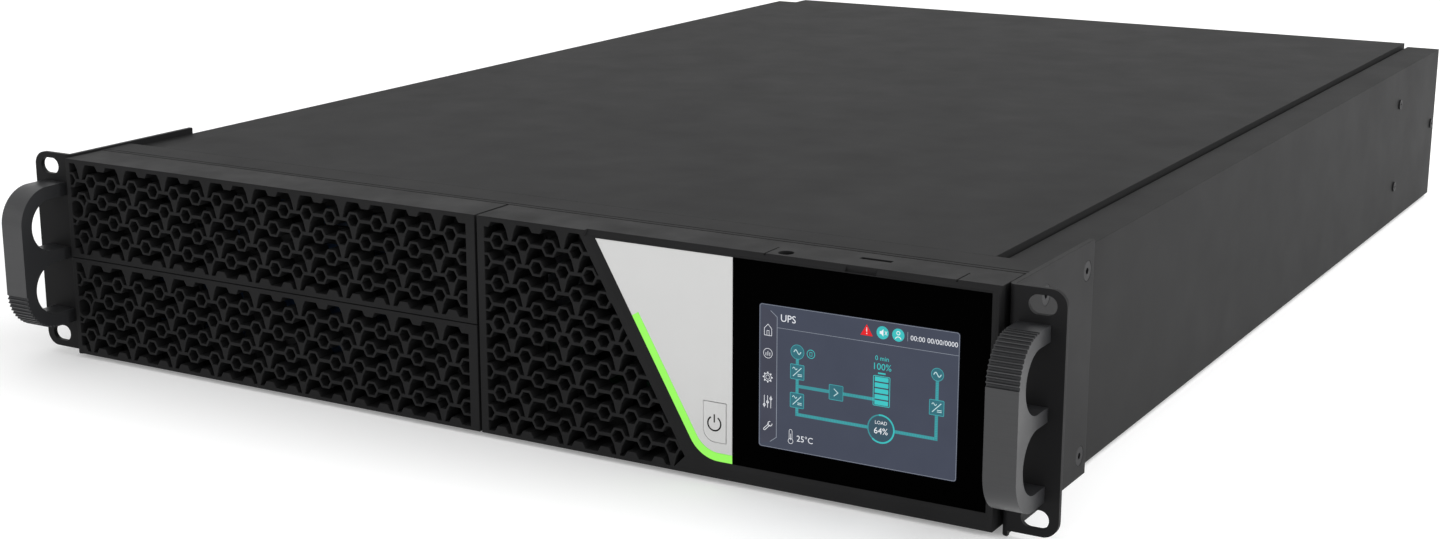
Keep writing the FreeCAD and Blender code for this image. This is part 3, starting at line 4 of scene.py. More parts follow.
import bmesh
import bpy
from mathutils import Matrix, Vector


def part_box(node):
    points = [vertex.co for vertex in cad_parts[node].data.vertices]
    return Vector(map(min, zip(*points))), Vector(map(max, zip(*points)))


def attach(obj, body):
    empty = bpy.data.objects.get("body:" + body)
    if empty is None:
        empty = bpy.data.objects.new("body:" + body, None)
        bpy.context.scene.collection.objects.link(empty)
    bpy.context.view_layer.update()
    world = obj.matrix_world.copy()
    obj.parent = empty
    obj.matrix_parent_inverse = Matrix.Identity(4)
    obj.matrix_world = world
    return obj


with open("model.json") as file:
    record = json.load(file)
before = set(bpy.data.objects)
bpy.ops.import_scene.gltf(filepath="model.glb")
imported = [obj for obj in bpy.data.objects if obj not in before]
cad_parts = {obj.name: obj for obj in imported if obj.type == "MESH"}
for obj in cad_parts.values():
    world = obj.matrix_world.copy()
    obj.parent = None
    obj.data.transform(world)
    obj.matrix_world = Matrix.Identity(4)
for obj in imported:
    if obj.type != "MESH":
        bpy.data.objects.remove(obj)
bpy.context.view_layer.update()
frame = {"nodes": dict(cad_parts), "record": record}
NODES = frame["nodes"]

# ---------------------------------------------------------------- places
# Fine detail is placed in millimetres from the front panels' face (y), the middle (x) and the
# underside of the case (z); the row's origin sits 6 mm behind and 44.45 mm above that.

MM = 0.001
ORIGIN_BACK = 6.0
ORIGIN_UP = 44.45


def place(x, y, z):
    """A point in the row frame, in metres, from millimetres on the case."""
    return Vector((x * MM, (y - ORIGIN_BACK) * MM, (z - ORIGIN_UP) * MM))


# ---------------------------------------------------------------- materials


class Paint:
    """A procedural material, built up one effect at a time on a principled shader."""

    def __init__(self, name, color, rough, metal=0.0, spec=0.5):
        self.mat = bpy.data.materials.new(name)
        self.mat.use_nodes = True
        self.mat.diffuse_color = (*color, 1.0)
        self.tree = self.mat.node_tree
        self.shader = self.tree.nodes["Principled BSDF"]
        self.color = color
        self.rough = rough
        self.heights = []
        self.shader.inputs["Base Color"].default_value = (*color, 1.0)
        self.shader.inputs["Roughness"].default_value = rough
        self.shader.inputs["Metallic"].default_value = metal
        self.shader.inputs["Specular IOR Level"].default_value = spec
        self.coords = self.tree.nodes.new("ShaderNodeTexCoord").outputs["Object"]

    def node(self, kind, **values):
        made = self.tree.nodes.new(kind)
        for key, value in values.items():
            if key in made.inputs:
                made.inputs[key].default_value = value
            else:
                setattr(made, key, value)
        return made

    def link(self, output, target):
        self.tree.links.new(output, target)

    def stretched(self, scale):
        """Object coordinates multiplied by a scale along each axis."""
        mapping = self.node("ShaderNodeMapping")
        mapping.inputs["Scale"].default_value = scale
        self.link(self.coords, mapping.inputs["Vector"])
        return mapping.outputs["Vector"]

    def noise(self, scale, detail=3.0, rough=0.55, seed=0.0):
        """Noise over the object; scale is one number, or three for a stretched grain."""
        spread = (scale,) * 3 if isinstance(scale, (int, float)) else scale
        made = self.node("ShaderNodeTexNoise", Scale=1.0, Detail=detail, Roughness=rough)
        made.noise_dimensions = "4D"
        made.inputs["W"].default_value = seed
        self.link(self.stretched(spread), made.inputs["Vector"])
        return made.outputs["Fac"]

    def ranged(self, value, low, high, start=0.3, end=0.7):
        """Maps value from start..end, the middle of a noise's range, onto low..high."""
        made = self.node("ShaderNodeMapRange")
        made.inputs["From Min"].default_value = start
        made.inputs["From Max"].default_value = end
        made.inputs["To Min"].default_value = low
        made.inputs["To Max"].default_value = high
        self.link(value, made.inputs["Value"])
        return made.outputs["Result"]

    def tone(self, value, dark, light):
        """Varies the base colour between a darker and a lighter share of itself."""
        mix = self.node("ShaderNodeMix", data_type="RGBA")
        mix.inputs["A"].default_value = (*[channel * dark for channel in self.color], 1.0)
        mix.inputs["B"].default_value = (*[min(1.0, channel * light) for channel in self.color], 1.0)
        self.link(self.ranged(value, 0.0, 1.0), mix.inputs["Factor"])
        self.link(mix.outputs["Result"], self.shader.inputs["Base Color"])
        return self

    def gloss(self, value, low, high):
        """Varies the roughness between low and high."""
        self.link(self.ranged(value, low, high), self.shader.inputs["Roughness"])
        return self

    def relief(self, value, strength, distance):
        self.heights.append((value, strength, distance))
        return self

    def painted_groove_shade(self, reach):
        """Painted shade: dims the shine inside grooves no wider than reach, found by ambient occlusion."""
        open_sky = self.node("ShaderNodeAmbientOcclusion", Distance=reach, samples=8, only_local=True)
        level = self.shader.inputs["Specular IOR Level"].default_value
        shine = self.ranged(open_sky.outputs["AO"], 0.0, level, start=0.55, end=0.95)
        self.link(shine, self.shader.inputs["Specular IOR Level"])
        return self

    def finish(self, edge=0.0004):
        """Rounds sharp edges in the shading, then lays the reliefs on top."""
        normal = None
        if edge:
            normal = self.node("ShaderNodeBevel", samples=4, Radius=edge).outputs["Normal"]
        for value, strength, distance in self.heights:
            bump = self.node("ShaderNodeBump", Strength=strength, Distance=distance)
            self.link(value, bump.inputs["Height"])
            if normal is not None:
                self.link(normal, bump.inputs["Normal"])
            normal = bump.outputs["Normal"]
        if normal is not None:
            self.link(normal, self.shader.inputs["Normal"])
        return self.mat


def coated(name, color, rough, edge=0.0004, grain=3200.0, depth=0.16, spec=0.05):
    """Fine-textured powder coat: a close grain and a very slight unevenness of tone."""
    paint = Paint(name, color, rough, spec=spec)
    paint.tone(paint.noise(9.0, detail=4.0, seed=1.0), 0.97, 1.03)
    paint.gloss(paint.noise(38.0, detail=5.0, seed=2.0), rough - 0.03, rough + 0.03)
    paint.relief(paint.noise(grain, detail=2.0, seed=3.0), depth, distance=0.00008)
    return paint.finish(edge)


def moulded(name, color, rough, edge=0.0005, grain=2400.0, depth=0.14, spec=0.18):
    """Moulded plastic with a spark-eroded grain."""
    paint = Paint(name, color, rough, spec=spec)
    paint.tone(paint.noise(24.0, detail=4.0, seed=5.0), 0.9, 1.12)
    paint.gloss(paint.noise(60.0, seed=6.0), rough - 0.05, rough + 0.06)
    cells = paint.node("ShaderNodeTexVoronoi", Scale=1.0)
    paint.link(paint.stretched((grain,) * 3), cells.inputs["Vector"])
    paint.relief(cells.outputs["Distance"], depth, distance=0.00008)
    return paint.finish(edge)


def brushed(name, color, rough, grain, metal=1.0, edge=0.0003, depth=0.12, spread=0.16, groove_shade_reach=0.0):
    """Metal with a fine directional grain; grain is the noise scale along each axis."""
    paint = Paint(name, color, rough, metal=metal)
    # painted shade: the shine is taken away inside narrow grooves
    if groove_shade_reach:
        paint.painted_groove_shade(groove_shade_reach)
    lines = paint.noise(grain, detail=4.0, rough=0.7, seed=7.0)
    paint.tone(lines, 1.0 - spread, 1.0 + spread)
    paint.gloss(paint.noise(40.0, seed=8.0), rough - 0.06, rough + 0.08)
    paint.relief(lines, depth, distance=0.00006)
    paint.shader.inputs["Anisotropic"].default_value = 0.4
    return paint.finish(edge)


def smooth(name, color, rough, metal=0.0, edge=0.0003, coat=0.0, spec=0.5, depth=0.04, spread=0.06):
    """A smooth or lacquered surface with slight orange peel and faint dust."""
    paint = Paint(name, color, rough, metal=metal, spec=spec)
    paint.tone(paint.noise(55.0, detail=4.0, seed=9.0), 1.0 - spread, 1.0 + spread)
    paint.gloss(paint.noise(160.0, detail=4.0, seed=10.0), max(0.02, rough - 0.04), rough + 0.06)
    paint.relief(paint.noise(420.0, detail=2.0, seed=11.0), depth, distance=0.00005)
    paint.shader.inputs["Coat Weight"].default_value = coat
    paint.shader.inputs["Coat Roughness"].default_value = 0.08
    return paint.finish(edge)


def glowing(name, color, strength, dark=0.8, light=1.15, rough=0.25, spec=0.02, body=0.05):
    """Something lit from behind, a little uneven over its face."""
    paint = Paint(name, tuple(channel * body for channel in color), rough)
    shade = paint.noise(70.0, detail=2.0, seed=12.0)
    mix = paint.node("ShaderNodeMix", data_type="RGBA")
    mix.inputs["A"].default_value = (*[channel * dark for channel in color], 1.0)
    mix.inputs["B"].default_value = (*[min(1.0, channel * light) for channel in color], 1.0)
    paint.link(paint.ranged(shade, 0.0, 1.0), mix.inputs["Factor"])
    paint.link(mix.outputs["Result"], paint.shader.inputs["Emission Color"])
    paint.shader.inputs["Emission Strength"].default_value = strength
    paint.shader.inputs["Specular IOR Level"].default_value = spec
    return paint.finish(0.0)


def circuit_board(name):
    """Solder mask over a faint maze of tracks."""
    paint = Paint(name, (0.016, 0.14, 0.055), 0.34)
    tracks = paint.node("ShaderNodeTexBrick", Scale=1.0)
    tracks.inputs["Mortar Size"].default_value = 0.06
    tracks.inputs["Color1"].default_value = (0.014, 0.12, 0.046, 1.0)
    tracks.inputs["Color2"].default_value = (0.02, 0.17, 0.07, 1.0)
    tracks.inputs["Mortar"].default_value = (0.05, 0.3, 0.12, 1.0)
    paint.link(paint.stretched((140.0,) * 3), tracks.inputs["Vector"])
    paint.link(tracks.outputs["Color"], paint.shader.inputs["Base Color"])
    paint.gloss(paint.noise(90.0, seed=13.0), 0.28, 0.44)
    paint.relief(tracks.outputs["Fac"], 0.2, distance=0.00005)
    return paint.finish(0.0002)


def wound_copper(name):
    """Enamelled wire: close ridges with a varnished shine, painted shade in the grooves and painted
    highlight on the crests.
    """
    paint = Paint(name, (0.5, 0.2, 0.07), 0.3, metal=0.9)
    turns = paint.node("ShaderNodeTexWave", Scale=1.0, Distortion=0.6)
    paint.link(paint.stretched((260.0,) * 3), turns.inputs["Vector"])
    # painted shade and painted highlight: the colour darkens in the grooves between turns and lightens on
    # their crests
    paint.tone(turns.outputs["Fac"], 0.6, 1.25)
    paint.relief(turns.outputs["Fac"], 0.5, distance=0.0003)
    return paint.finish(0.0)


MATERIALS = {
    "case_coat": coated("case_coat", (0.0162, 0.0162, 0.0165), 0.55),
    "ear_coat": coated("ear_coat", (0.0115, 0.0115, 0.012), 0.45, spec=0.06),
    "inner_steel": brushed("inner_steel", (0.5, 0.51, 0.52), 0.36, (900.0, 30.0, 900.0), spread=0.1),
    # handle_alloy: painted shade in the grooves between the ribs, reaching 2 mm
    "handle_alloy": brushed(
        "handle_alloy",
        (0.02, 0.0205, 0.022),
        0.36,
        (40.0, 2600.0, 2600.0),
        metal=0.0,
        edge=0.00015,
        groove_shade_reach=0.002,
    ),
    "dark_screw": smooth("dark_screw", (0.014, 0.014, 0.015), 0.45, spec=0.12),
    "plain_screw": smooth("plain_screw", (0.5, 0.5, 0.5), 0.3, metal=1.0),
    "panel_plastic": moulded("panel_plastic", (0.0155, 0.0155, 0.0159), 0.46, spec=0.04),
    "silver_plastic": smooth("silver_plastic", (0.565, 0.565, 0.56), 0.45, spec=0.3, spread=0.01),
    "lime_plastic": glowing(
        "lime_plastic",
        (0.3, 0.9, 0.11),
        0.8,
        dark=0.97,
        light=1.02,
        rough=0.3,
        spec=0.2,
        body=0.25,
    ),
    "display_black": smooth("display_black", (0.0002, 0.0002, 0.0002), 0.1, spec=0.004, depth=0.01),
    "screen": glowing("screen", (0.05, 0.06, 0.09), 0.6),
    "board_green": circuit_board("board_green"),
    "black_moulding": moulded("black_moulding", (0.013, 0.013, 0.014), 0.46, edge=0.0003),
    "white_moulding": moulded("white_moulding", (0.7, 0.7, 0.68), 0.4, edge=0.0003),
    "fin_aluminium": brushed("fin_aluminium", (0.2, 0.203, 0.21), 0.42, (60.0, 1400.0, 60.0), spread=0.1),
    # cell_sleeve: the cells' blue darkened to navy, partly painted shade for the dim inside of the case
    "cell_sleeve": smooth("cell_sleeve", (0.012, 0.03, 0.07), 0.36, coat=0.2),
    "can_sleeve": smooth("can_sleeve", (0.02, 0.035, 0.09), 0.3, coat=0.3),
    "copper_wire": wound_copper("copper_wire"),
    "core_iron": brushed("core_iron", (0.06, 0.055, 0.05), 0.5, (60.0, 60.0, 2200.0), metal=0.6),
    "rubber": moulded("rubber", (0.012, 0.012, 0.012), 0.7, grain=1500.0, spec=0.3),
    "wire_chrome": smooth("wire_chrome", (0.6, 0.6, 0.61), 0.2, metal=1.0, edge=0.0),
    "stud_brass": smooth("stud_brass", (0.6, 0.42, 0.14), 0.3, metal=1.0),
    "port_plate": smooth("port_plate", (0.52, 0.51, 0.49), 0.32, metal=1.0),
}

SLOT_OF = {part["node"]: part["material_slot"] for part in frame["record"]["subparts"]}
for name, cad in NODES.items():
    cad.data.materials.clear()
    cad.data.materials.append(MATERIALS[SLOT_OF[name]])


# ---------------------------------------------------------------- drawn detail

WAVE_STEPS = 14
FONT_SIZE_PER_CAPITAL = 1.38
SLIVER = 1e-7  # twice the area of the smallest triangle kept, in square millimetres


class Artwork:
    """Flat shapes drawn in millimetres on an upright face, then raised into thin slabs.

    Places are (across, up) from the lower left corner of the area at (left, low).
    """

    def __init__(self, name, left, low, front, thick, material, slot):
        self.name = name
        self.left = left
        self.low = low
        self.front = front
        self.thick = thick
        self.material = material
        self.slot = slot
        self.mesh = bmesh.new()

    def face(self, corners):
        """A slab with this outline; corners run anticlockwise seen from the front."""
        ring = [(self.left + u, self.low + v) for u, v in corners]
        front = [self.mesh.verts.new(place(x, self.front - self.thick, z)) for x, z in ring]
        back = [self.mesh.verts.new(place(x, self.front, z)) for x, z in ring]
        self.mesh.faces.new(front)
        self.mesh.faces.new(list(reversed(back)))
        for step in range(len(ring)):
            after = (step + 1) % len(ring)
            self.mesh.faces.new((front[after], front[step], back[step], back[after]))

    def disc(self, centre, radius, steps=36):
        """A filled circle."""
        turns = [math.tau * step / steps for step in range(steps)]
        self.face([(centre[0] + radius * math.cos(t), centre[1] + radius * math.sin(t)) for t in turns])

    def arc(self, centre, radius, width, start, sweep, steps=32):
        """A curved band; angles in degrees, anticlockwise from the right."""
        inner, outer = radius - width / 2, radius + width / 2
        for step in range(steps):
            a = math.radians(start + sweep * step / steps)
            b = math.radians(start + sweep * (step + 1) / steps)
            spots = [(outer, a), (outer, b), (inner, b), (inner, a)]
            self.face([(centre[0] + r * math.cos(t), centre[1] + r * math.sin(t)) for r, t in spots])

    def ring(self, centre, radius, width):
        """A closed circular band."""
        self.arc(centre, radius, width, 0.0, 360.0)

    def line(self, points, width):
        """A band along each stretch of a bent line, with square ends."""
        for (ax, ay), (bx, by) in zip(points, points[1:]):
            length = math.hypot(bx - ax, by - ay)
            ox, oy = (bx - ax) / length, (by - ay) / length
            ex, ey = ox * width / 2, oy * width / 2
            ax, ay, bx, by = ax - ex, ay - ey, bx + ex, by + ey
            self.face([(ax + ey, ay - ex), (bx + ey, by - ex), (bx - ey, by + ex), (ax - ey, ay + ex)])

    def loop(self, points, width):
        """A band round a closed outline."""
        self.line(list(points) + [points[0]], width)

    def panel(self, centre, wide, high, corner=0.0):
        """A filled rectangle with rounded corners."""
        self.face(rounded_corners(centre, wide, high, corner))

    def frame(self, centre, wide, high, width, corner=0.0):
        """The outline of a rectangle with rounded corners."""
        self.loop(rounded_corners(centre, wide, high, corner), width)

    def wave(self, centre, wide, high, width):
        """One cycle of a sine."""
        points = []
        for step in range(WAVE_STEPS + 1):
            share = step / WAVE_STEPS
            points.append((centre[0] + (share - 0.5) * wide, centre[1] + high * math.sin(math.tau * share)))
        self.line(points, width)

    def text(self, words, centre, high, align="CENTER"):
        """Generic lettering, drawn with the program's own outline font."""
        curve = bpy.data.curves.new(f"{self.name}_text", "FONT")
        curve.body = words
        curve.align_x = align
        curve.align_y = "CENTER"
        curve.size = high * FONT_SIZE_PER_CAPITAL
        curve.resolution_u = 3
        letter = bpy.data.objects.new(f"{self.name}_text", curve)
        flat = bpy.data.meshes.new_from_object(letter)
        held = bmesh.new()
        held.from_mesh(flat)
        bmesh.ops.triangulate(held, faces=held.faces[:])
        for tri in held.faces:
            corners = [(centre[0] + v.co.x, centre[1] + v.co.y) for v in tri.verts]
            (ax, ay), (bx, by), (cx, cy) = corners
            turn = (bx - ax) * (cy - ay) - (by - ay) * (cx - ax)
            if abs(turn) > SLIVER:
                self.face(corners if turn > 0 else corners[::-1])
        held.free()
        bpy.data.objects.remove(letter)
        bpy.data.curves.remove(curve)
        bpy.data.meshes.remove(flat)

    def build(self, body):
        """Makes the mesh, lets it ride on a body and gives it its material."""
        data = bpy.data.meshes.new(self.name)
        self.mesh.to_mesh(data)
        self.mesh.free()
        made = bpy.data.objects.new(self.name, data)
        bpy.context.scene.collection.objects.link(made)
        data.materials.append(self.material)
        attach(made, body)
        return made


def rounded_corners(centre, wide, high, corner, steps=6):
    """The outline of a rectangle, anticlockwise, with a quarter circle at each corner."""
    cx, cy = centre
    if corner <= 0:
        a, b = wide / 2, high / 2
        return [(cx - a, cy - b), (cx + a, cy - b), (cx + a, cy + b), (cx - a, cy + b)]
    points = []
    for quarter, (sx, sy) in enumerate(((1, 1), (-1, 1), (-1, -1), (1, -1))):
        mx, my = cx + sx * (wide / 2 - corner), cy + sy * (high / 2 - corner)
        for step in range(steps + 1):
            angle = math.radians(90 * quarter + 90 * step / steps)
            points.append((mx + corner * math.cos(angle), my + corner * math.sin(angle)))
    return points


# ---------------------------------------------------------------- the screen's picture
# Places in the picture are (across, up) in millimetres from its lower left corner.

SCREEN_LEFT = 125.6
SCREEN_LOW = 15.6
SCREEN_WIDE = 78.6
SCREEN_HIGH = 54.0
SCREEN_FRONT = 0.9
LAYER_STEP = 0.012
LAYER_THICK = 0.01

# each colour: how many steps it lies in front of the backdrop, its colour and its brightness
INKS = {
    "white": (3, (0.78, 0.8, 0.84), 1.0),
    "grey": (2, (0.32, 0.35, 0.41), 0.9),
    "teal": (2, (0.05, 0.27, 0.3), 1.0),
    "stripe": (4, (0.05, 0.36, 0.38), 1.0),
    "deep_teal": (3, (0.04, 0.16, 0.2), 0.95),
    "teal_lines": (4, (0.06, 0.36, 0.39), 1.0),
    "bright_teal": (4, (0.05, 0.5, 0.5), 1.0),
    "pale_marks": (5, (0.5, 0.68, 0.7), 1.0),
    "red": (3, (0.72, 0.02, 0.025), 1.0),
    "white_marks": (6, (0.85, 0.87, 0.9), 1.0),
}

SIDE_BAR_MIDDLE = 3.6
HEADER_UP = 49.4
HEADER_RULE = 45.7

# the power-flow diagram: its two upright columns, its two level rows and its boxes
MAINS_COLUMN = 15.65
LOAD_COLUMN = 70.5
BATTERY_ROW = 25.05
OUTPUT_ROW = 14.4
SOURCE_ROW = 37.8
CONVERTERS = ((MAINS_COLUMN, 30.35), (MAINS_COLUMN, 19.65), (LOAD_COLUMN, 25.8))
CHARGER = (31.35, BATTERY_ROW)
BATTERY = (49.2, 28.4)
DIAL = (49.25, 14.5)
THERMOMETER = (13.2, 3.9)

PIPE_WIDE = 1.25
TICK_PITCH = 0.62
TICK_WIDE = 0.26
TICK_REACH = PIPE_WIDE / 4


def shifted(points, centre):
    return [(centre[0] + across, centre[1] + up) for across, up in points]


def screen_layer(name, level, color, strength, dark=0.9, light=1.1):
    """One colour of the picture, level steps in front of the backdrop."""
    paint = glowing(f"{name}_light", color, strength, dark, light)
    front = SCREEN_FRONT - LAYER_STEP * level
    return Artwork(name, SCREEN_LEFT, SCREEN_LOW, front, LAYER_THICK, paint, "screen")


def draw_ground():
    """The backdrop, the side bar's slanted plate and the dark well of the load dial."""
    middle = (SCREEN_WIDE / 2, SCREEN_HIGH / 2)
    back = screen_layer("screen_backdrop", 0, (0.062, 0.071, 0.102), 0.95, dark=0.96, light=1.04)
    back.panel(middle, SCREEN_WIDE, SCREEN_HIGH, corner=1.1)
    back.build("chassis")
    side = screen_layer("screen_sidebar", 1, (0.062, 0.066, 0.092), 0.95)
    side.face([(0.9, 0.9), (4.6, 2.4), (7.0, 4.3), (7.0, 49.7), (4.6, 51.6), (0.9, 53.1)])
    side.build("chassis")
    well = screen_layer("screen_dial_well", 3, (0.05, 0.095, 0.13), 0.95)
    well.disc(DIAL, 4.8)
    well.build("chassis")


def draw_rules(grey):
    """Thin rules: the side bar's edge, the header's line and divider, and the border."""
    grey.line([(4.8, 2.4), (7.3, 4.3), (7.3, 49.6), (4.7, 51.6)], 0.2)
    grey.line([(7.3, HEADER_RULE), (SCREEN_WIDE - 0.3, HEADER_RULE)], 0.14)
    grey.line([(58.85, 48.2), (58.85, 51.4)], 0.16)
    grey.frame((SCREEN_WIDE / 2, SCREEN_HIGH / 2), SCREEN_WIDE - 0.5, SCREEN_HIGH - 0.5, 0.12, corner=1.0)


def draw_side_bar(white):
    """Icons from the top: house, meter, settings wheel, sliders and spanner."""
    house = (SIDE_BAR_MIDDLE, 44.9)
    walls = [(-1.5, 0.0), (0.0, 1.6), (1.5, 0.0), (1.5, -2.6), (-1.5, -2.6), (-1.5, 0.0)]
    door = [(-0.45, -2.5), (-0.45, -0.8), (0.45, -0.8), (0.45, -2.5)]
    white.line(shifted(walls, house), 0.18)
    white.line(shifted(door, house), 0.16)

    meter = (SIDE_BAR_MIDDLE, 35.6)
    white.ring(meter, 1.8, 0.18)
    for across, rise in ((-0.8, 0.9), (0.0, 1.5), (0.8, 1.1)):
        white.line(shifted([(across, -0.8), (across, rise - 0.8)], meter), 0.22)

    wheel = (SIDE_BAR_MIDDLE, 26.6)
    white.ring(wheel, 0.8, 0.16)
    white.ring(wheel, 1.45, 0.18)
    teeth = 8
    for tooth in range(teeth):
        angle = math.tau * tooth / teeth
        white.line(shifted([(r * math.cos(angle), r * math.sin(angle)) for r in (1.6, 1.8)], wheel), 0.45)

    sliders = (SIDE_BAR_MIDDLE, 17.35)
    for across, knob in ((-1.35, -1.35), (0.0, -0.15), (1.35, 1.25)):
        white.line(shifted([(across, -2.25), (across, 2.25)], sliders), 0.2)
        white.ring((sliders[0] + across, sliders[1] + knob), 0.42, 0.22)

    spanner = (SIDE_BAR_MIDDLE, 7.75)
    white.line(shifted([(-1.5, -0.75), (0.5, 1.25)], spanner), 0.24)
    white.line(shifted([(-1.0, -1.25), (1.0, 0.75)], spanner), 0.24)
    white.arc((spanner[0] - 1.25, spanner[1] - 1.0), 0.36, 0.2, 130.0, 190.0, 12)
    white.arc((spanner[0] + 1.05, spanner[1] + 1.3), 0.85, 0.24, 80.0, 290.0, 20)


def draw_header(inks):
    """The title, an alarm sign, a silenced speaker, a person and a clock."""
    white, marks, red, fresh = (inks[key] for key in ("white", "white_marks", "red", "bright_teal"))
    white.text("UPS", (8.6, HEADER_UP), 2.75, "LEFT")
    white.text("00:00 00/00/0000", (68.9, HEADER_UP), 1.85)

    alarm = (43.0, 47.9)
    red.face(shifted([(-2.4, 0.0), (2.4, 0.0), (0.0, 4.1)], alarm))
    white.line(shifted([(0.0, 1.5), (0.0, 2.8)], alarm), 0.36)
    white.disc((alarm[0], alarm[1] + 0.75), 0.24, 12)

    speaker = (49.2, 49.8)
    cone = [(-1.1, -0.5), (-0.5, -0.5), (0.3, -1.3), (0.3, 1.3), (-0.5, 0.5), (-1.1, 0.5)]
    fresh.disc(speaker, 2.35)
    marks.face(shifted(cone, speaker))
    marks.line(shifted([(0.9, -0.6), (1.7, 0.6)], speaker), 0.2)
    marks.line(shifted([(1.7, -0.6), (0.9, 0.6)], speaker), 0.2)

    person = (55.25, 49.8)
    fresh.disc(person, 2.35)
    marks.ring((person[0], person[1] + 0.7), 0.62, 0.24)
    marks.arc((person[0], person[1] - 1.8), 1.15, 0.26, 20.0, 140.0, 16)


def draw_ticks(layer, path):
    """Ticks across a pipe that show that power flows."""
    for (ax, ay), (bx, by) in zip(path, path[1:]):
        length = math.hypot(bx - ax, by - ay)
        ox, oy = (bx - ax) / length, (by - ay) / length
        for step in range(int(length / TICK_PITCH)):
            along = TICK_PITCH * (step + 0.5)
            x, y = ax + ox * along, ay + oy * along
            across, up = oy * TICK_REACH, ox * TICK_REACH
            layer.line([(x - across, y + up), (x + across, y - up)], TICK_WIDE)


def draw_power_path(inks):
    """Pipes between the two sources, the converters, the charger, the battery and the load."""
    teal, deep, lines, pale = (inks[key] for key in ("teal", "deep_teal", "teal_lines", "pale_marks"))
    flows = (
        [(MAINS_COLUMN, 35.0), (MAINS_COLUMN, 33.2)],
        [(MAINS_COLUMN, 27.5), (MAINS_COLUMN, 22.5)],
        [(34.2, BATTERY_ROW), (46.0, BATTERY_ROW)],
        [(MAINS_COLUMN, 16.8), (MAINS_COLUMN, OUTPUT_ROW), (44.2, OUTPUT_ROW)],
        [(54.4, OUTPUT_ROW), (LOAD_COLUMN, OUTPUT_ROW), (LOAD_COLUMN, 22.9)],
        [(LOAD_COLUMN, 28.7), (LOAD_COLUMN, 35.4)],
    )
    teal.line([(16.0, BATTERY_ROW), (28.5, BATTERY_ROW)], PIPE_WIDE)
    for path in flows:
        teal.line(path, PIPE_WIDE)
        draw_ticks(inks["stripe"], path)

    for column, radius in ((MAINS_COLUMN, 2.65), (LOAD_COLUMN, 2.3)):
        centre = (column, SOURCE_ROW)
        deep.disc(centre, radius - 0.15)
        lines.ring(centre, radius, 0.22)
        pale.wave(centre, 2.7, 0.75, 0.34)

    plug = (21.1, SOURCE_ROW)
    pins = [(-0.45, -0.7), (-0.45, 0.7), (0.45, 0.7), (0.45, -0.7)]
    inks["bright_teal"].ring(plug, 1.55, 0.24)
    inks["bright_teal"].loop(shifted(pins, plug), 0.18)

    for centre in (*CONVERTERS, CHARGER):
        deep.panel(centre, 5.3, 5.3, corner=0.3)
        lines.frame(centre, 5.5, 5.5, 0.22, corner=0.35)
    for x, z in CONVERTERS:
        pale.line([(x - 1.6, z - 1.6), (x + 1.6, z + 1.6)], 0.3)
        pale.wave((x - 0.95, z + 1.2), 1.7, 0.4, 0.26)
        for drop in (0.85, 1.45):
            pale.line([(x + 0.3, z - drop), (x + 1.8, z - drop)], 0.26)
    pale.line(shifted([(-0.75, 1.25), (0.75, 0.0), (-0.75, -1.25)], CHARGER), 0.34)


def draw_battery(fresh):
    """A full battery with its charge and its time above it."""
    fresh.frame(BATTERY, 6.4, 10.9, 0.24, corner=0.4)
    for bar in range(5):
        fresh.panel((BATTERY[0], BATTERY[1] - 4.3 + 2.15 * bar), 5.3, 1.65, corner=0.15)
    fresh.line(shifted([(-1.2, 6.5), (1.2, 6.5)], BATTERY), 0.55)
    fresh.text("100%", (BATTERY[0], BATTERY[1] + 8.8), 2.5)
    fresh.text("0 min", (BATTERY[0], BATTERY[1] + 11.9), 1.75)


def draw_load_dial(inks):
    """A ring that is filled as far as the load goes, round its reading."""
    inks["teal"].ring(DIAL, 5.1, 0.5)
    inks["bright_teal"].arc(DIAL, 5.1, 0.6, -130.0, 230.0, 48)
    inks["white_marks"].text("LOAD", (DIAL[0], DIAL[1] + 2.2), 1.3)
    inks["white_marks"].text("64%", (DIAL[0], DIAL[1] - 0.9), 2.4)


def draw_temperature(white):
    """A thermometer beside its reading."""
    tube = 0.6
    white.arc((THERMOMETER[0], THERMOMETER[1] + 3.8), tube, 0.18, 0.0, 180.0, 12)
    for side in (-tube, tube):
        white.line(shifted([(side, 3.8), (side, 0.7)], THERMOMETER), 0.18)
    white.ring(THERMOMETER, 0.98, 0.18)
    white.line(shifted([(0.0, 0.5), (0.0, 2.7)], THERMOMETER), 0.2)
    white.text("25°C", (19.0, 5.2), 2.35)


def draw_screen():
    """A status page: a side bar of icons, a header and a power-flow diagram."""
    draw_ground()
    inks = {name: screen_layer(f"screen_{name}", *look) for name, look in INKS.items()}
    draw_rules(inks["grey"])
    draw_side_bar(inks["white"])
    draw_header(inks)
    draw_power_path(inks)
    draw_battery(inks["bright_teal"])
    draw_load_dial(inks)
    draw_temperature(inks["white"])
    for layer in inks.values():
        layer.build("chassis")


# ---------------------------------------------------------------- the power key's mark

MARK_MIDDLE = 106.85
MARK_UP = 20.85
MARK_FRONT = 0.85
MARK_THICK = 0.02
MARK_RADIUS = 2.75


def draw_key_mark():
    """The open ring and stroke printed on the power key."""
    ink = smooth("key_ink", (0.004, 0.004, 0.004), 0.4, edge=0.0, spec=0.1)
    mark = Artwork("power_mark", MARK_MIDDLE, MARK_UP, MARK_FRONT, MARK_THICK, ink, "black_moulding")
    mark.arc((0.0, 0.0), MARK_RADIUS, 0.6, 122.0, 296.0, 44)
    mark.line([(0.0, 0.7), (0.0, 3.3)], 0.56)
    mark.build("power_key")


draw_screen()
draw_key_mark()


# ---------------------------------------------------------------- floor, light and camera

FLOOR_REACH = 60.0
FLOOR_GLOW = 0.22
SKY_STRENGTH = 0.9

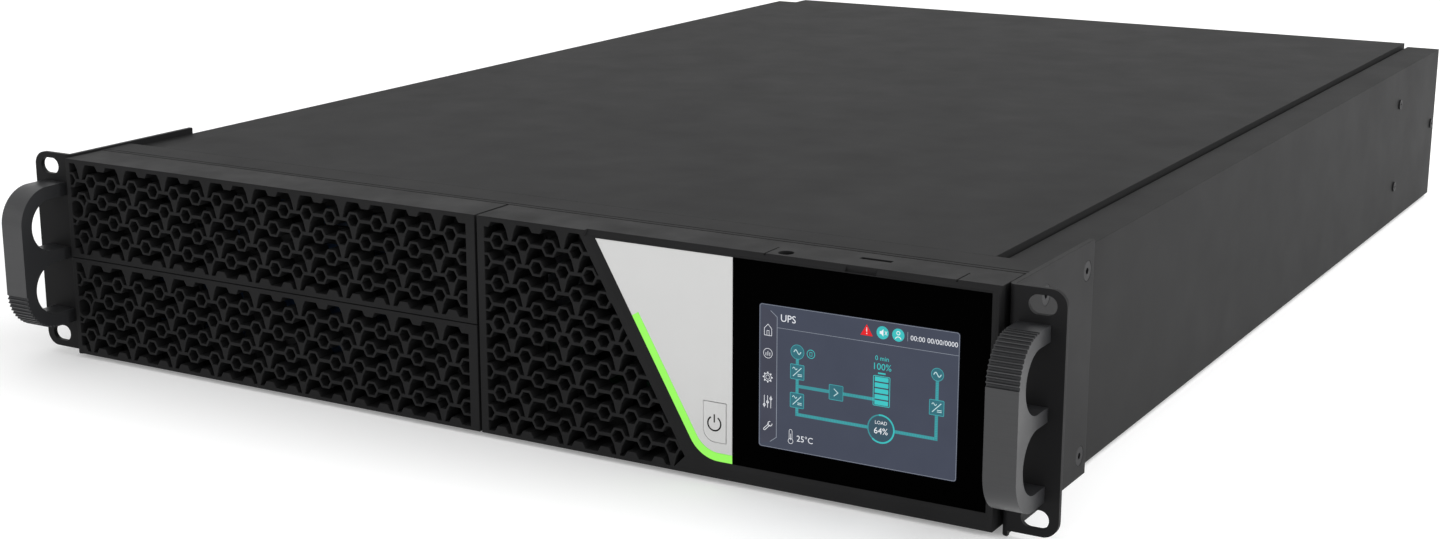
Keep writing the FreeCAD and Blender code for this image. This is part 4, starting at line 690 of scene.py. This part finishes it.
# each lamp: place and aim in metres, side of its square in metres, power in watts
LAMPS = {
    "key": ((1.6, 1.4, 1.9), (0.0, 0.3, 0.0), 1.6, 26.0),
    "side": ((2.2, 0.2, 0.7), (0.1, 0.2, 0.0), 1.2, 24.0),
    "front": ((-1.2, -2.0, 0.9), (0.0, 0.0, 0.0), 1.2, 7.0),
}

CAMERA_PLACE = (0.4929, -0.6676, 0.22875)
CAMERA_AZIMUTH = 30.08
CAMERA_ELEVATION = 14.18
CAMERA_ROLL = 0.08
CAMERA_LENS = 54.555
CAMERA_SENSOR = 36.0


def floor():
    """A pale floor under the feet that fades into the background."""
    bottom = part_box("rubber_feet")[0].z
    outline = rounded_corners((0.0, 0.0), 2 * FLOOR_REACH, 2 * FLOOR_REACH, 0.0)
    mesh = bmesh.new()
    mesh.faces.new([mesh.verts.new((x, y, bottom)) for x, y in outline])
    data = bpy.data.meshes.new("floor")
    mesh.to_mesh(data)
    mesh.free()
    made = bpy.data.objects.new("floor", data)
    bpy.context.scene.collection.objects.link(made)
    paint = Paint("floor", (0.86, 0.86, 0.86), 0.9, spec=0.1)
    paint.tone(paint.noise(0.6, seed=14.0), 0.99, 1.01)
    paint.shader.inputs["Emission Color"].default_value = (1, 1, 1, 1)
    paint.shader.inputs["Emission Strength"].default_value = FLOOR_GLOW
    data.materials.append(paint.finish(0.0))


def sky():
    """An even white surround."""
    world = bpy.data.worlds.new("studio")
    bpy.context.scene.world = world
    world.use_nodes = True
    background = world.node_tree.nodes["Background"]
    background.inputs["Color"].default_value = (1.0, 1.0, 1.0, 1.0)
    background.inputs["Strength"].default_value = SKY_STRENGTH


def lamps():
    for name, (spot, aim, size, power) in LAMPS.items():
        lamp = bpy.data.lights.new(name, "AREA")
        lamp.shape = "SQUARE"
        lamp.size = size
        lamp.energy = power
        held = bpy.data.objects.new(name, lamp)
        held.location = spot
        held.rotation_mode = "QUATERNION"
        held.rotation_quaternion = (Vector(aim) - Vector(spot)).to_track_quat("-Z", "Y")
        bpy.context.scene.collection.objects.link(held)


def camera():
    azimuth, elevation = math.radians(CAMERA_AZIMUTH), math.radians(CAMERA_ELEVATION)
    level = math.cos(elevation)
    ahead = Vector((-math.sin(azimuth) * level, math.cos(azimuth) * level, -math.sin(elevation)))
    data = bpy.data.cameras.new("camera")
    data.sensor_width = CAMERA_SENSOR
    data.lens = CAMERA_LENS
    data.clip_start = 0.02
    data.clip_end = 50.0
    held = bpy.data.objects.new("camera", data)
    held.location = CAMERA_PLACE
    held.rotation_mode = "QUATERNION"
    spin = Matrix.Rotation(math.radians(CAMERA_ROLL), 4, "Z").to_quaternion()
    held.rotation_quaternion = ahead.to_track_quat("-Z", "Y") @ spin
    bpy.context.scene.collection.objects.link(held)
    bpy.context.scene.camera = held


floor()
sky()
lamps()
camera()
bpy.context.scene.view_settings.view_transform = "Standard"
